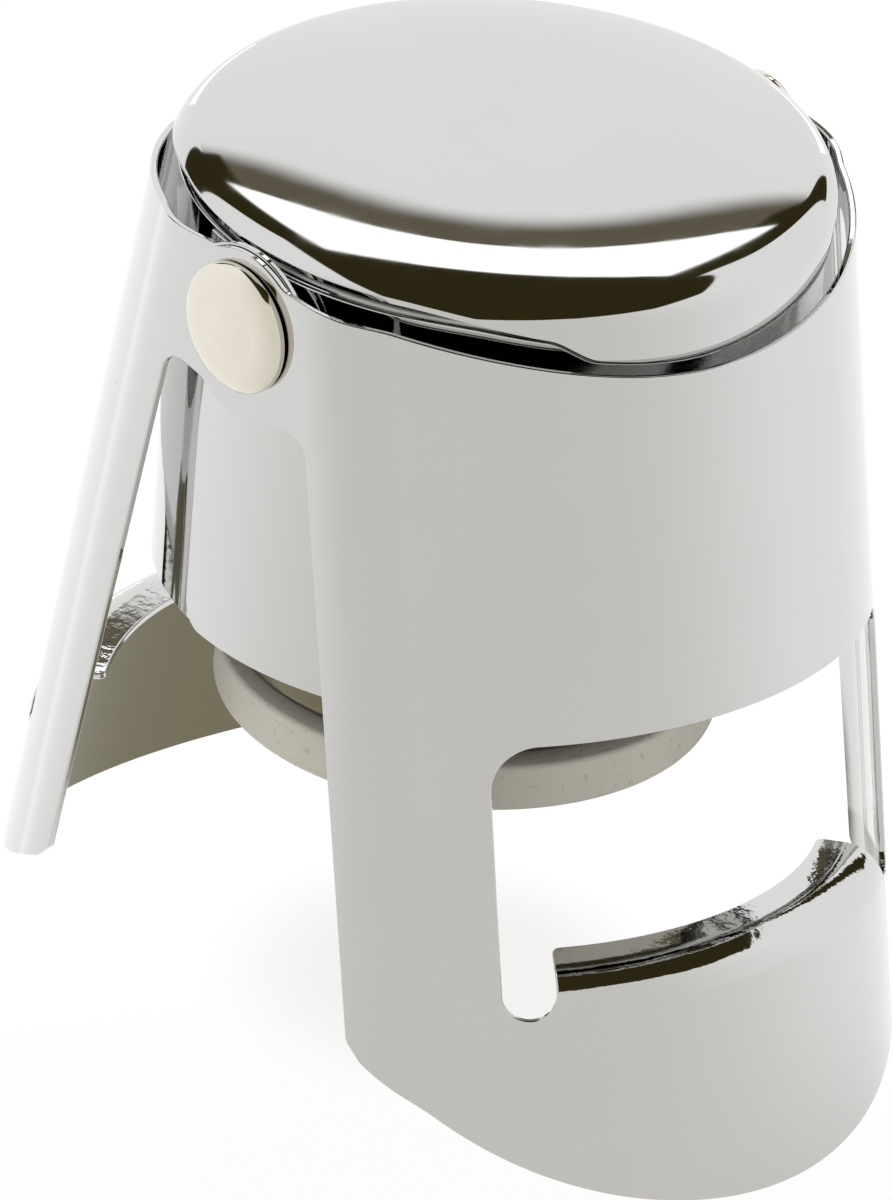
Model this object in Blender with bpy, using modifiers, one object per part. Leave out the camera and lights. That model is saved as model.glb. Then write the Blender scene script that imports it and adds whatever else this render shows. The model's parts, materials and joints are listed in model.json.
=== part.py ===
"""Champagne stopper: a chromed sheet-metal cap and body with two hooked wings on two rivets,
and a sprung plunger that carries the rubber seal. Metres, +Z up, the hinge axis along Y.
The wings stand open by WING_OPEN, as the stopper is shown before it goes on a bottle."""

import math

import bmesh
import bpy
from mathutils import Matrix

# Angles, in radians
WING_OPEN = math.radians(9.7)
LIP_BEND = math.radians(82)
WINDOW_FROM = math.radians(42)
NOTCH_TO = math.radians(51)
LAP_END = math.radians(-14)
LAP_START = math.radians(15)
JOGGLE_FROM = math.radians(45)
JOGGLE_TO = math.radians(26)
QUARTER = math.radians(90)
HALF = math.radians(180)
FULL = math.radians(360)

# Wings: a handed pair; each ear lies over the other wing's at one end and under it at the other
WING_STAND_OFF = 0.0017
WING_SHEET = 0.00045
EAR_RADIUS = 0.00525
EAR_DROP = 0.0005
EAR_FILLET = 0.0020
EAR_CURVE = 0.150
EAR_CLEARANCE = 0.00015
EAR_ANGLE = math.radians(14)
EAR_BLEND = math.radians(16)
FRONT_RISE = 0.0041
REAR_RISE = 0.0035
RIM_SLOPE = 0.26
RIM_DROP = 0.0029
OVER_LEG_EDGE = 0.0049
UNDER_LEG_EDGE = 0.0057
LEG_TAPER = 0.0007
LEG_DROP = 0.0440
LEG_FILLET = 0.0014
LEG_CORNER = 0.0008
SKIRT_DROP = 0.0549
SKIRT_BULGE = 0.0006
WINDOW_DROP = 0.0244
WINDOW_CORNER = 0.0029
NOTCH_DROP = 0.0416
LIP_DROP = 0.0414
LIP_BEND_RADIUS = 0.0023
LIP_REACH = 0.0039
LIP_CORNER = 0.0005

# Body sleeve: a rolled strip whose outer end laps over its inner end beside the front rivet
BODY_RADIUS = 0.0190
BODY_SHEET = 0.0003
BODY_DROP = 0.0225
LAP_GAP = 0.00005
LAP_CORNER = 0.0016
SLEEVE_UNDER_CAP = 0.0005

# Dome cap, trimmed higher over the hinges than at the sides
CAP_OVERHANG = 0.0007
CAP_SHEET = 0.00065
CAP_DOME = 0.00115
CAP_ROUND = 0.0024
CAP_ROUND_RISE = 0.0028
CAP_SKIRT = 0.0003
CAP_EDGE_HINGE = 0.0042
CAP_EDGE_SIDE = 0.0009
CAP_STEP = 0.0009
STEP_FROM = math.radians(55)
STEP_TO = math.radians(64)
DROP_FROM = math.radians(28)

# Inner cup, which carries the cap, the sleeve and the spring
CUP_SHEET = 0.0005
CUP_TOP = 0.0040
CUP_CORNER = 0.0012
CUP_RECESS = 0.0002
CUP_LIP = 0.0018
CUP_LIP_ROUND = 0.0009
FIT = 0.0002
RUNNING_FIT = 0.0003

# Guide ring, plunger and seal
RING_SHEET = 0.0006
PLUNGER_INSET = 0.0036
PLUNGER_SHEET = 0.0005
PLUNGER_FIT = 0.00025
PLUNGER_CORNER = 0.0011
SEAL_RADIUS = 0.0148
SEAL_HANG = 0.0085
SEAL_THICKNESS = 0.0030
SEAL_ROUND = 0.0003
STUD_RADIUS = 0.0028
STUD_HEAD_RADIUS = 0.0042
STUD_HEAD_HEIGHT = 0.0013
STUD_HEAD_EDGE = 0.0004
STUD_TIP_RADIUS = 0.0022
STUD_CLEARANCE = 0.0002

# Plunger spring
SPRING_WIRE = 0.0011
SPRING_INSET = 0.0029
SPRING_TURNS = 8.0
SPRING_POINTS_A_TURN = 10
CLOSED_PITCH = 0.0018
CLOSED_TURNS = 1.0
SPRING_SEAT_GAP = 0.0002

# Rivets and their backing washers
SHANK_RADIUS = 0.0020
HOLE_CLEARANCE = 0.0002
HEAD_RADIUS = 0.0040
HEAD_HEIGHT = 0.0011
HEAD_EDGE = 0.0003
REAR_HEAD_RADIUS = 0.0032
TAIL_RADIUS = 0.0029
TAIL_HEIGHT = 0.0008
WASHER_RADIUS = 0.0032
WASHER_SHEET = 0.0005
WASHER_STAND_OFF = 0.00055
RIVET_GAP = 0.0001
TAIL_CHAMFER = 0.0003

# How finely the round shapes are drawn
SCORE_ANGLE = math.radians(4)
WING_SCORE_ANGLE = math.radians(3)
TURN_STEPS = 72
CAP_STEPS = 72
RIVET_STEPS = 40
ARC_STEPS = 6
BEND_STEPS = 3
CIRCLE_STEPS = 24
WELD = 1e-7

# Places that follow from the sizes above, measured from the hinge axis
WING_RADIUS = BODY_RADIUS + WING_STAND_OFF
WING_MID = WING_RADIUS - WING_SHEET / 2
LIP_INNER_RADIUS = WING_RADIUS - LIP_REACH
CAP_RADIUS = BODY_RADIUS + CAP_OVERHANG
SLEEVE_MID = BODY_RADIUS - BODY_SHEET / 2
LAP_MID = SLEEVE_MID + BODY_SHEET + LAP_GAP
INNER_EAR_MID = LAP_MID + BODY_SHEET / 2 + EAR_CLEARANCE + WING_SHEET / 2
OUTER_EAR_MID = INNER_EAR_MID + WING_SHEET + EAR_CLEARANCE
EAR_FACE = OUTER_EAR_MID + WING_SHEET / 2
CUP_RADIUS = BODY_RADIUS - BODY_SHEET - FIT
CUP_BORE = CUP_RADIUS - CUP_SHEET
WASHER_SEAT = CUP_BORE - WASHER_STAND_OFF
PLUNGER_RADIUS = CUP_BORE - PLUNGER_INSET
SPRING_RADIUS = PLUNGER_RADIUS - SPRING_INSET
CUP_DROP = BODY_DROP - CUP_RECESS
RING_BOTTOM = -CUP_DROP + CUP_SHEET + FIT
RING_TOP = RING_BOTTOM + RING_SHEET
RING_RADIUS = CUP_BORE - RUNNING_FIT
RING_BORE = PLUNGER_RADIUS + PLUNGER_FIT
FLANGE_BOTTOM = RING_TOP + RUNNING_FIT
FLANGE_RADIUS = CUP_BORE - PLUNGER_FIT
SEAL_DROP = BODY_DROP + SEAL_HANG
SEAL_TOP = -SEAL_DROP + SEAL_THICKNESS
FLOOR_BOTTOM = SEAL_TOP + RUNNING_FIT
FLOOR_TOP = FLOOR_BOTTOM + PLUNGER_SHEET
CUP_CEILING = CUP_TOP - CUP_SHEET
HOLE_RADIUS = SHANK_RADIUS + HOLE_CLEARANCE
HINGE_HEIGHT = SKIRT_DROP * math.cos(WING_OPEN) - (WING_RADIUS - WING_SHEET) * math.sin(WING_OPEN)


def clear_scene():
    for obj in list(bpy.data.objects):
        bpy.data.objects.remove(obj, do_unlink=True)


def new_collection(name):
    collection = bpy.data.collections.new(name)
    bpy.context.scene.collection.children.link(collection)
    return collection


def finish(name, colour, roughness, metallic):
    """A material of one finish."""
    material = bpy.data.materials.new(name)
    material.use_nodes = True
    shader = material.node_tree.nodes["Principled BSDF"]
    shader.inputs["Base Color"].default_value = (*colour, 1)
    shader.inputs["Roughness"].default_value = roughness
    shader.inputs["Metallic"].default_value = metallic
    return material


def add_part(name, mesh, material, height=0.0):
    """A named object of the model, with its origin on the upright axis at that height."""
    mesh.name = name
    if not mesh.materials:
        mesh.materials.append(material)
    part = bpy.data.objects.new(name, mesh)
    part.location.z = height
    parts.objects.link(part)
    mesh.shade_smooth()
    mesh.set_sharp_from_angle(angle=math.radians(35))
    return part


def smooth(share):
    """0 to 1 with level ends."""
    share = min(max(share, 0.0), 1.0)
    return share * share * (3 - 2 * share)


def arc(centre, radius, start, end, steps=ARC_STEPS):
    """Points round a flat arc, both ends included."""
    return [
        (
            centre[0] + radius * math.cos(start + (end - start) * i / steps),
            centre[1] + radius * math.sin(start + (end - start) * i / steps),
        )
        for i in range(steps + 1)
    ]


def circle(centre, radius, steps=CIRCLE_STEPS):
    return arc(centre, radius, 0, FULL, steps)[:-1]


def filled(outlines):
    """A flat mesh of the area inside the first outline and outside the others."""
    curve = bpy.data.curves.new("blank", "CURVE")
    curve.dimensions = "2D"
    curve.fill_mode = "BOTH"
    for outline in outlines:
        spline = curve.splines.new("POLY")
        spline.points.add(len(outline) - 1)
        for point, (x, y) in zip(spline.points, outline):
            point.co = (x, y, 0, 1)
        spline.use_cyclic_u = True
    guide = bpy.data.objects.new("blank", curve)
    parts.objects.link(guide)
    graph = bpy.context.evaluated_depsgraph_get()
    mesh = bpy.data.meshes.new_from_object(guide.evaluated_get(graph))
    bpy.data.objects.remove(guide)
    bpy.data.curves.remove(curve)
    return mesh


def on_score(edge, upright_scores, level_scores):
    """True for an edge that lies along one of the straight lines."""
    for axis, places in ((0, upright_scores), (1, level_scores)):
        first, second = (vert.co[axis] for vert in edge.verts)
        if abs(first - second) < WELD:
            return any(abs(first - place) < 10 * WELD for place in places)
    return False


def formed(mesh, upright_scores, level_scores, form):
    """Scores a flat blank along straight lines and moves its points to where the tool puts them."""
    shape = bmesh.new()
    shape.from_mesh(mesh)
    bmesh.ops.remove_doubles(shape, verts=shape.verts, dist=WELD)
    for axis, places in ((0, upright_scores), (1, level_scores)):
        for place in places:
            point = (place, 0, 0) if axis == 0 else (0, place, 0)
            normal = (1, 0, 0) if axis == 0 else (0, 1, 0)
            faces = shape.faces[:]
            if axis == 1:
                first, last = NOTCH_TO * WING_MID, (HALF - NOTCH_TO) * WING_MID
                faces = [f for f in faces if first < f.calc_center_median().x < last]
            edges = {edge for face in faces for edge in face.edges}
            verts = {vert for edge in edges for vert in edge.verts}
            geom = [*verts, *edges, *faces]
            bmesh.ops.bisect_plane(shape, geom=geom, dist=WELD, plane_co=point, plane_no=normal)
    scored = {edge for edge in shape.edges if on_score(edge, upright_scores, level_scores)}
    spare = [edge for edge in shape.edges if not edge.is_boundary and edge not in scored]
    bmesh.ops.dissolve_edges(shape, edges=spare, use_verts=False)
    spare = [v for v in shape.verts if len(v.link_edges) == 2 and not v.is_boundary]
    bmesh.ops.dissolve_verts(shape, verts=spare)
    for vert in shape.verts:
        vert.co = form(vert.co.x, vert.co.y)
    bmesh.ops.recalc_face_normals(shape, faces=shape.faces)
    shape.to_mesh(mesh)
    shape.free()
    return mesh


def thicken(part, thickness):
    wall = part.modifiers.new("wall", "SOLIDIFY")
    wall.thickness = thickness
    wall.offset = 0
    wall.use_even_offset = True


def turned(name, profile, material, steps=TURN_STEPS):
    """A closed profile of radius and height points, counter-clockwise, turned about the upright axis."""
    mesh = bpy.data.meshes.new(name)
    count = len(profile)
    edges = [(i, (i + 1) % count) for i in range(count)]
    if profile[0][0] == 0 and profile[-1][0] == 0:
        edges = edges[:-1]
    mesh.from_pydata([(r, 0, z) for r, z in reversed(profile)], edges, [])
    part = add_part(name, mesh, material, HINGE_HEIGHT)
    screw = part.modifiers.new("turn", "SCREW")
    screw.steps = steps
    screw.render_steps = steps
    screw.use_merge_vertices = True
    screw.merge_threshold = WELD
    screw.use_smooth_shade = True
    return part


def ear_radius(angle, ear):
    """Distance from the upright axis to the middle of an ear's slightly curved sheet."""
    bend = 2 * ear * math.sin(angle) ** 2 / EAR_CURVE
    return 2 * ear / (math.cos(angle) + math.sqrt(math.cos(angle) ** 2 + bend))


def wing_radius(angle, front, rear):
    """Radius of the sheet's middle: nearly flat over each ear, round between them."""
    radius = WING_MID
    for turn, ear in ((angle, front), (HALF - angle, rear)):
        if turn < EAR_ANGLE + EAR_BLEND:
            share = 1 - smooth((turn - EAR_ANGLE) / EAR_BLEND)
            radius += (ear_radius(turn, ear) - WING_MID) * share
    return radius


def on_blank(side, height, ear, rear):
    """A point beside the hinge, given by its distance from the hinge plane, on the blank."""
    low, high = -EAR_ANGLE - EAR_BLEND, EAR_ANGLE + EAR_BLEND
    for _ in range(40):
        angle = (low + high) / 2
        if wing_radius(abs(angle), ear, ear) * math.sin(angle) < side:
            low = angle
        else:
            high = angle
    return ((HALF - angle if rear else angle) * WING_MID, height)


def rim_height(side, rise):
    """Height of the wing's upper rim: a gentle slope that steepens at the side."""
    dip = rise - RIM_SLOPE * WING_RADIUS + RIM_DROP
    return rise - RIM_SLOPE * side - dip * (side / WING_RADIUS) ** 4


def ear_outline(leg_edge, ear, rear):
    """From the rim, round the ear and down the leg's edge, which leans away from the hinge plane."""
    rise = REAR_RISE if rear else FRONT_RISE
    slant = math.sqrt(1 + RIM_SLOPE**2)
    away = math.atan2(1, RIM_SLOPE)
    if rear:
        radius = (rise + EAR_DROP) / slant
        lobe = arc((0, -EAR_DROP), radius, away, FULL - QUARTER, 3 * ARC_STEPS)
    else:
        radius = EAR_RADIUS
        reach = rise + EAR_FILLET * slant + EAR_DROP
        beyond = slant**2 * (reach**2 - (radius + EAR_FILLET) ** 2)
        x = (RIM_SLOPE * reach + math.sqrt((RIM_SLOPE * reach) ** 2 - beyond)) / slant**2
        z = reach - RIM_SLOPE * x
        turn = math.atan2(z, x)
        lobe = arc((x, z - EAR_DROP), EAR_FILLET, HALF + away, HALF + turn, 3)[:-1]
        lobe += arc((0, -EAR_DROP), radius, turn, FULL - QUARTER, 3 * ARC_STEPS)
    bottom = -EAR_DROP - radius
    fillet = arc((leg_edge - LEG_FILLET, bottom - LEG_FILLET), LEG_FILLET, QUARTER, 0)
    corner_centre = (leg_edge + LEG_TAPER + LEG_CORNER, -LEG_DROP + LEG_CORNER)
    corner = arc(corner_centre, LEG_CORNER, HALF, HALF + QUARTER / 2, 3)
    return [on_blank(x, z, ear, rear) for x, z in lobe + fillet + corner]


def skirt_edge(angle, leg_edge):
    """Height of the skirt's lower edge: a slanting cut, a little bulged."""
    foot = leg_edge + LEG_TAPER
    share = (WING_RADIUS * math.sin(angle) - foot) / (WING_RADIUS - foot)
    return -LEG_DROP - (SKIRT_DROP - LEG_DROP) * share - SKIRT_BULGE * math.sin(HALF * share)


def wing_outline(front_ear, rear_ear, front_edge, rear_edge):
    front = ear_outline(front_edge, front_ear, False)
    rear = ear_outline(rear_edge, rear_ear, True)
    steps = round(HALF / WING_SCORE_ANGLE)
    low, high = [], []
    for i in range(1, steps):
        angle = i * WING_SCORE_ANGLE
        along = angle * WING_MID
        leg_edge, rise = (front_edge, FRONT_RISE) if angle < QUARTER else (rear_edge, REAR_RISE)
        if front[-1][0] + LEG_CORNER / 2 < along < rear[-1][0] - LEG_CORNER / 2:
            low.append((along, skirt_edge(angle, leg_edge)))
        if front[0][0] + LEG_CORNER / 2 < along < rear[0][0] - LEG_CORNER / 2:
            high.append((along, rim_height(WING_RADIUS * math.sin(angle), rise)))
    return front + low + rear[::-1] + high[::-1]


def window_outline():
    """The window with a notch at each lower corner and the lip's tab between them."""
    tab_length = LIP_BEND_RADIUS * LIP_BEND
    flange = WING_MID - LIP_BEND_RADIUS * (1 - math.cos(LIP_BEND)) - LIP_INNER_RADIUS
    tab_top = -LIP_DROP + tab_length + flange / math.sin(LIP_BEND)
    left = WINDOW_FROM * WING_MID
    notch = (NOTCH_TO - WINDOW_FROM) * WING_MID / 2
    half = arc((left + WINDOW_CORNER, -WINDOW_DROP - WINDOW_CORNER), WINDOW_CORNER, QUARTER, HALF)
    half += arc((left + notch, -NOTCH_DROP + notch), notch, HALF, FULL, 2 * ARC_STEPS)
    tab_corner = (NOTCH_TO * WING_MID + LIP_CORNER, tab_top - LIP_CORNER)
    half += arc(tab_corner, LIP_CORNER, HALF, QUARTER, 3)
    whole = HALF * WING_MID
    return half + [(whole - x, z) for x, z in reversed(half)]


def add_wing(name, side, front_over, material):
    """A wing on the given side; its front ear lies over the other wing's ear, or under it."""
    ears = (OUTER_EAR_MID, INNER_EAR_MID) if front_over else (INNER_EAR_MID, OUTER_EAR_MID)
    edges = (OVER_LEG_EDGE, UNDER_LEG_EDGE) if front_over else (UNDER_LEG_EDGE, OVER_LEG_EDGE)

    def form(along, up):
        """Where a point of the blank lies once it is rolled and its lip is turned in."""
        angle = along / WING_MID
        radius = wing_radius(abs(angle), *ears) if angle < HALF else wing_radius(FULL - angle, *ears)
        height = up
        turned_up = up + LIP_DROP
        over_lip = NOTCH_TO - WELD < angle < HALF - NOTCH_TO + WELD
        if over_lip and 0 < turned_up < LIP_DROP - WINDOW_DROP - WELD:
            bend = min(turned_up / LIP_BEND_RADIUS, LIP_BEND)
            beyond = turned_up - bend * LIP_BEND_RADIUS
            radius -= LIP_BEND_RADIUS * (1 - math.cos(bend)) + beyond * math.sin(bend)
            height = -LIP_DROP + LIP_BEND_RADIUS * math.sin(bend) + beyond * math.cos(bend)
        return (side * radius * math.sin(angle), -radius * math.cos(angle), height)

    holes = []
    for ear, rear in zip(ears, (False, True)):
        holes.append([on_blank(x, z, ear, rear) for x, z in circle((0, 0), HOLE_RADIUS)])
    blank = filled([wing_outline(*ears, *edges), window_outline(), *holes])
    reach = round(HALF / WING_SCORE_ANGLE) + 6
    upright = [i * WING_SCORE_ANGLE * WING_MID for i in range(-6, reach)]
    level = [-LIP_DROP + i * LIP_BEND_RADIUS * LIP_BEND / 4 for i in range(5)]
    wing = add_part(name, formed(blank, upright, level, form), material, HINGE_HEIGHT)
    wing.rotation_euler.y = -side * WING_OPEN
    thicken(wing, WING_SHEET)


def cap_edge(angle):
    """Height of the cap's trimmed edge above the hinge axis, by the angle from the hinge."""
    from_hinge = math.acos(abs(math.cos(angle)))
    drop = CAP_EDGE_HINGE - CAP_EDGE_SIDE - CAP_STEP
    gentle = drop * smooth((from_hinge - DROP_FROM) / (QUARTER - DROP_FROM))
    step = CAP_STEP * smooth((from_hinge - STEP_FROM) / (STEP_TO - STEP_FROM))
    return CAP_EDGE_HINGE - gentle - step


def sleeve_form(along, up):
    """Rolls the sleeve's strip; its outer end steps out over its inner end."""
    angle = LAP_START - along / SLEEVE_MID
    joggle = smooth((JOGGLE_FROM - FULL - angle) / (JOGGLE_FROM - JOGGLE_TO))
    radius = SLEEVE_MID + (LAP_MID - SLEEVE_MID) * joggle
    return (radius * math.sin(angle), -radius * math.cos(angle), up)


def add_sleeve(material):
    length = (LAP_START - LAP_END + FULL) * SLEEVE_MID
    steps = round(length / (SCORE_ANGLE * SLEEVE_MID))
    scores = [length * i / steps for i in range(steps + 1)]
    high = []
    for along in reversed(scores):
        angle = LAP_START - along / SLEEVE_MID
        high.append((along, cap_edge(angle) - SLEEVE_UNDER_CAP))
    corner = arc((length - LAP_CORNER, -BODY_DROP + LAP_CORNER), LAP_CORNER, -QUARTER, 0)
    outline = [(0, -BODY_DROP), *corner, *high]
    quarter = LAP_START * SLEEVE_MID
    holes = [
        circle((quarter + turn * SLEEVE_MID, 0), HOLE_RADIUS) for turn in (0, HALF, FULL)
    ]
    mesh = formed(filled([outline, *holes]), scores[1:-1], [], sleeve_form)
    sleeve = add_part("body_sleeve", mesh, material, HINGE_HEIGHT)
    thicken(sleeve, BODY_SHEET)


def cap_profile(angle):
    """Outer profile of the cap from its centre to its trimmed edge at that angle."""
    flat_radius = CAP_RADIUS - CAP_ROUND
    slope = 4 * CAP_DOME / flat_radius
    start = math.atan(1 / slope)
    join = (flat_radius + CAP_ROUND * math.cos(start), CAP_ROUND_RISE + CAP_ROUND * math.sin(start))
    points = []
    rings = 2 * ARC_STEPS
    for i in range(1, rings + 1):
        share = i / rings
        points.append((join[0] * share, join[1] + CAP_DOME * (1 - share**4)))
    edge = cap_edge(angle)
    last = math.asin(max((edge + CAP_SKIRT - CAP_ROUND_RISE) / CAP_ROUND, 0))
    for i in range(1, ARC_STEPS + 1):
        turn = start + (last - start) * i / ARC_STEPS
        points.append((flat_radius + CAP_ROUND * math.cos(turn), CAP_ROUND_RISE + CAP_ROUND * math.sin(turn)))
    bottom = points[-1]
    for i in (1, 2):
        points.append((bottom[0], bottom[1] + (edge - bottom[1]) * i / 2))
    return points


def add_cap(material):
    """A loft from the centre out, because the trimmed edge rises and falls round the cap."""
    shape = bmesh.new()
    centre = cap_profile(0)[0]
    top = shape.verts.new((0, 0, centre[1] + CAP_DOME / (2 * ARC_STEPS) ** 4))
    columns = []
    for i in range(CAP_STEPS):
        angle = FULL * i / CAP_STEPS
        columns.append(
            [
                shape.verts.new((r * math.sin(angle), -r * math.cos(angle), z))
                for r, z in cap_profile(angle)
            ]
        )
    for i, column in enumerate(columns):
        after = columns[(i + 1) % CAP_STEPS]
        shape.faces.new((top, column[0], after[0]))
        for j in range(len(column) - 1):
            shape.faces.new((column[j], column[j + 1], after[j + 1], after[j]))
    bmesh.ops.recalc_face_normals(shape, faces=shape.faces)
    mesh = bpy.data.meshes.new("dome_cap")
    shape.to_mesh(mesh)
    shape.free()
    cap = add_part("dome_cap", mesh, material, HINGE_HEIGHT)
    wall = cap.modifiers.new("wall", "SOLIDIFY")
    wall.thickness = CAP_SHEET
    wall.offset = -1
    wall.use_even_offset = True


def drill(part, radius):
    """Cuts one hole along the hinge axis through both walls."""
    hole = bpy.data.meshes.new("hole")
    shape = bmesh.new()
    bmesh.ops.create_cone(
        shape,
        cap_ends=True,
        segments=CIRCLE_STEPS,
        radius1=radius,
        radius2=radius,
        depth=4 * BODY_RADIUS,
    )
    bmesh.ops.rotate(shape, verts=shape.verts, matrix=Matrix.Rotation(QUARTER, 3, "X"))
    shape.to_mesh(hole)
    shape.free()
    cutter = bpy.data.objects.new("hole", hole)
    cutter.location.z = HINGE_HEIGHT
    cutter.hide_render = True
    cutter.display_type = "WIRE"
    cutters.objects.link(cutter)
    cut = part.modifiers.new("hole", "BOOLEAN")
    cut.operation = "DIFFERENCE"
    cut.solver = "EXACT"
    cut.object = cutter


def add_cup(material):
    corner = (CUP_RADIUS - CUP_CORNER, CUP_TOP - CUP_CORNER)
    low_corner = (CUP_RADIUS - CUP_LIP_ROUND, -CUP_DROP + CUP_LIP_ROUND)
    lip = CUP_RADIUS - CUP_LIP
    profile = [(0, CUP_CEILING)]
    profile += arc(corner, CUP_CORNER - CUP_SHEET, QUARTER, 0, BEND_STEPS)
    profile += arc(low_corner, CUP_LIP_ROUND - CUP_SHEET, 0, -QUARTER, BEND_STEPS)
    profile += [(lip, -CUP_DROP + CUP_SHEET), (lip, -CUP_DROP)]
    profile += arc(low_corner, CUP_LIP_ROUND, -QUARTER, 0, BEND_STEPS)
    profile += arc(corner, CUP_CORNER, 0, QUARTER, BEND_STEPS)
    profile.append((0, CUP_TOP))
    cup = turned("inner_cup", profile, material)
    drill(cup, HOLE_RADIUS)


def add_ring(name, bore, radius, bottom, top, material, steps=TURN_STEPS):
    profile = [(bore, bottom), (radius, bottom), (radius, top), (bore, top)]
    return turned(name, profile, material, steps)


def add_plunger(material):
    bore = STUD_RADIUS + STUD_CLEARANCE
    floor_corner = (PLUNGER_RADIUS - PLUNGER_CORNER, FLOOR_BOTTOM + PLUNGER_CORNER)
    inside = PLUNGER_CORNER - PLUNGER_SHEET
    neck = (PLUNGER_RADIUS + inside, FLANGE_BOTTOM - inside)
    flange_top = FLANGE_BOTTOM + PLUNGER_SHEET
    profile = [(bore, FLOOR_BOTTOM)]
    profile += arc(floor_corner, PLUNGER_CORNER, -QUARTER, 0, BEND_STEPS)
    profile += arc(neck, inside, HALF, QUARTER, BEND_STEPS)
    profile += [(FLANGE_RADIUS, FLANGE_BOTTOM), (FLANGE_RADIUS, flange_top)]
    profile += arc(neck, PLUNGER_CORNER, QUARTER, HALF, BEND_STEPS)
    profile += arc(floor_corner, inside, 0, -QUARTER, BEND_STEPS)
    profile.append((bore, FLOOR_TOP))
    turned("plunger", profile, material)


def add_seal(material):
    """The rubber disc with the moulded stud that snaps through the plunger's floor."""
    rim = SEAL_RADIUS - SEAL_ROUND
    head = FLOOR_TOP + STUD_CLEARANCE
    profile = [(0, -SEAL_DROP)]
    profile += arc((rim, -SEAL_DROP + SEAL_ROUND), SEAL_ROUND, -QUARTER, 0, BEND_STEPS)
    profile += arc((rim, SEAL_TOP - SEAL_ROUND), SEAL_ROUND, 0, QUARTER, BEND_STEPS)
    profile += [(STUD_RADIUS, SEAL_TOP), (STUD_RADIUS, head), (STUD_HEAD_RADIUS, head)]
    profile.append((STUD_HEAD_RADIUS, head + STUD_HEAD_EDGE))
    profile += [(STUD_TIP_RADIUS, head + STUD_HEAD_HEIGHT), (0, head + STUD_HEAD_HEIGHT)]
    turned("seal", profile, material)


def add_spring(material):
    """A round-wire spring with a closed turn at each end, between the cup and the plunger's floor."""
    low = FLOOR_TOP + SPRING_SEAT_GAP + SPRING_WIRE / 2
    high = CUP_CEILING - SPRING_SEAT_GAP - SPRING_WIRE / 2
    closed = CLOSED_TURNS * CLOSED_PITCH
    pitch = (high - low - 2 * closed) / (SPRING_TURNS - 2 * CLOSED_TURNS)
    curve = bpy.data.curves.new("plunger_spring", "CURVE")
    curve.dimensions = "3D"
    curve.bevel_depth = SPRING_WIRE / 2
    curve.bevel_resolution = 1
    curve.use_fill_caps = True
    curve.materials.append(material)
    wire = curve.splines.new("POLY")
    steps = round(SPRING_TURNS * SPRING_POINTS_A_TURN)
    wire.points.add(steps)
    for i, point in enumerate(wire.points):
        turns = i / SPRING_POINTS_A_TURN
        from_low = low + turns * CLOSED_PITCH
        from_high = high - (SPRING_TURNS - turns) * CLOSED_PITCH
        middle = low + closed + (turns - CLOSED_TURNS) * pitch
        height = max(from_low, middle) if turns < SPRING_TURNS / 2 else min(from_high, middle)
        if turns < CLOSED_TURNS:
            height = from_low
        if turns > SPRING_TURNS - CLOSED_TURNS:
            height = from_high
        angle = FULL * turns
        point.co = (SPRING_RADIUS * math.cos(angle), SPRING_RADIUS * math.sin(angle), height, 1)
    spring = bpy.data.objects.new("plunger_spring", curve)
    spring.location.z = HINGE_HEIGHT
    parts.objects.link(spring)
    print("spring: closed turns clear by", round((CLOSED_PITCH - SPRING_WIRE) * 1000, 2), "mm")
    print("spring: open turns clear by", round((pitch - SPRING_WIRE) * 1000, 2), "mm")


def add_rivet(name, turn, head_radius, material):
    tail_high = WASHER_SEAT - WASHER_SHEET - RIVET_GAP
    tail_low = tail_high - TAIL_HEIGHT
    head_low = EAR_FACE + RIVET_GAP
    profile = [(0, tail_low), (TAIL_RADIUS - TAIL_CHAMFER, tail_low), (TAIL_RADIUS, tail_low + TAIL_CHAMFER)]
    profile += [(TAIL_RADIUS, tail_high), (SHANK_RADIUS, tail_high), (SHANK_RADIUS, head_low)]
    profile.append((head_radius, head_low))
    dome = HEAD_HEIGHT - HEAD_EDGE
    for x, z in arc((0, 0), 1, 0, QUARTER):
        profile.append((head_radius * x, head_low + HEAD_EDGE + dome * z))
    profile[-1] = (0, head_low + HEAD_HEIGHT)
    rivet = turned(name, profile, material, RIVET_STEPS)
    rivet.rotation_euler = (turn, 0, 0)


def add_washer(name, turn, material):
    inner = WASHER_SEAT - WASHER_SHEET
    washer = add_ring(name, HOLE_RADIUS, WASHER_RADIUS, inner, WASHER_SEAT, material, RIVET_STEPS)
    washer.rotation_euler = (turn, 0, 0)


clear_scene()
parts = new_collection("champagne_stopper")
cutters = new_collection("cutters")
chrome = finish("chrome", (0.61, 0.61, 0.60), 0.05, 1.0)
steel = finish("plain_steel", (0.55, 0.55, 0.54), 0.30, 1.0)
nickel = finish("warm_nickel", (0.78, 0.74, 0.64), 0.22, 1.0)
rubber = finish("beige_rubber", (0.52, 0.47, 0.38), 0.60, 0.0)

add_wing("right_wing", 1, True, chrome)
add_wing("left_wing", -1, False, chrome)
add_sleeve(chrome)
add_cap(chrome)
add_cup(steel)
add_ring("guide_ring", RING_BORE, RING_RADIUS, RING_BOTTOM, RING_TOP, steel)
add_plunger(chrome)
add_seal(rubber)
add_spring(steel)
for end, turn, head in (("front", QUARTER, HEAD_RADIUS), ("rear", -QUARTER, REAR_HEAD_RADIUS)):
    add_rivet(end + "_rivet", turn, head, nickel)
    add_washer(end + "_washer", turn, steel)
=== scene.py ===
import json
import math

import bmesh
import bpy
from mathutils import Matrix, Vector


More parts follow.
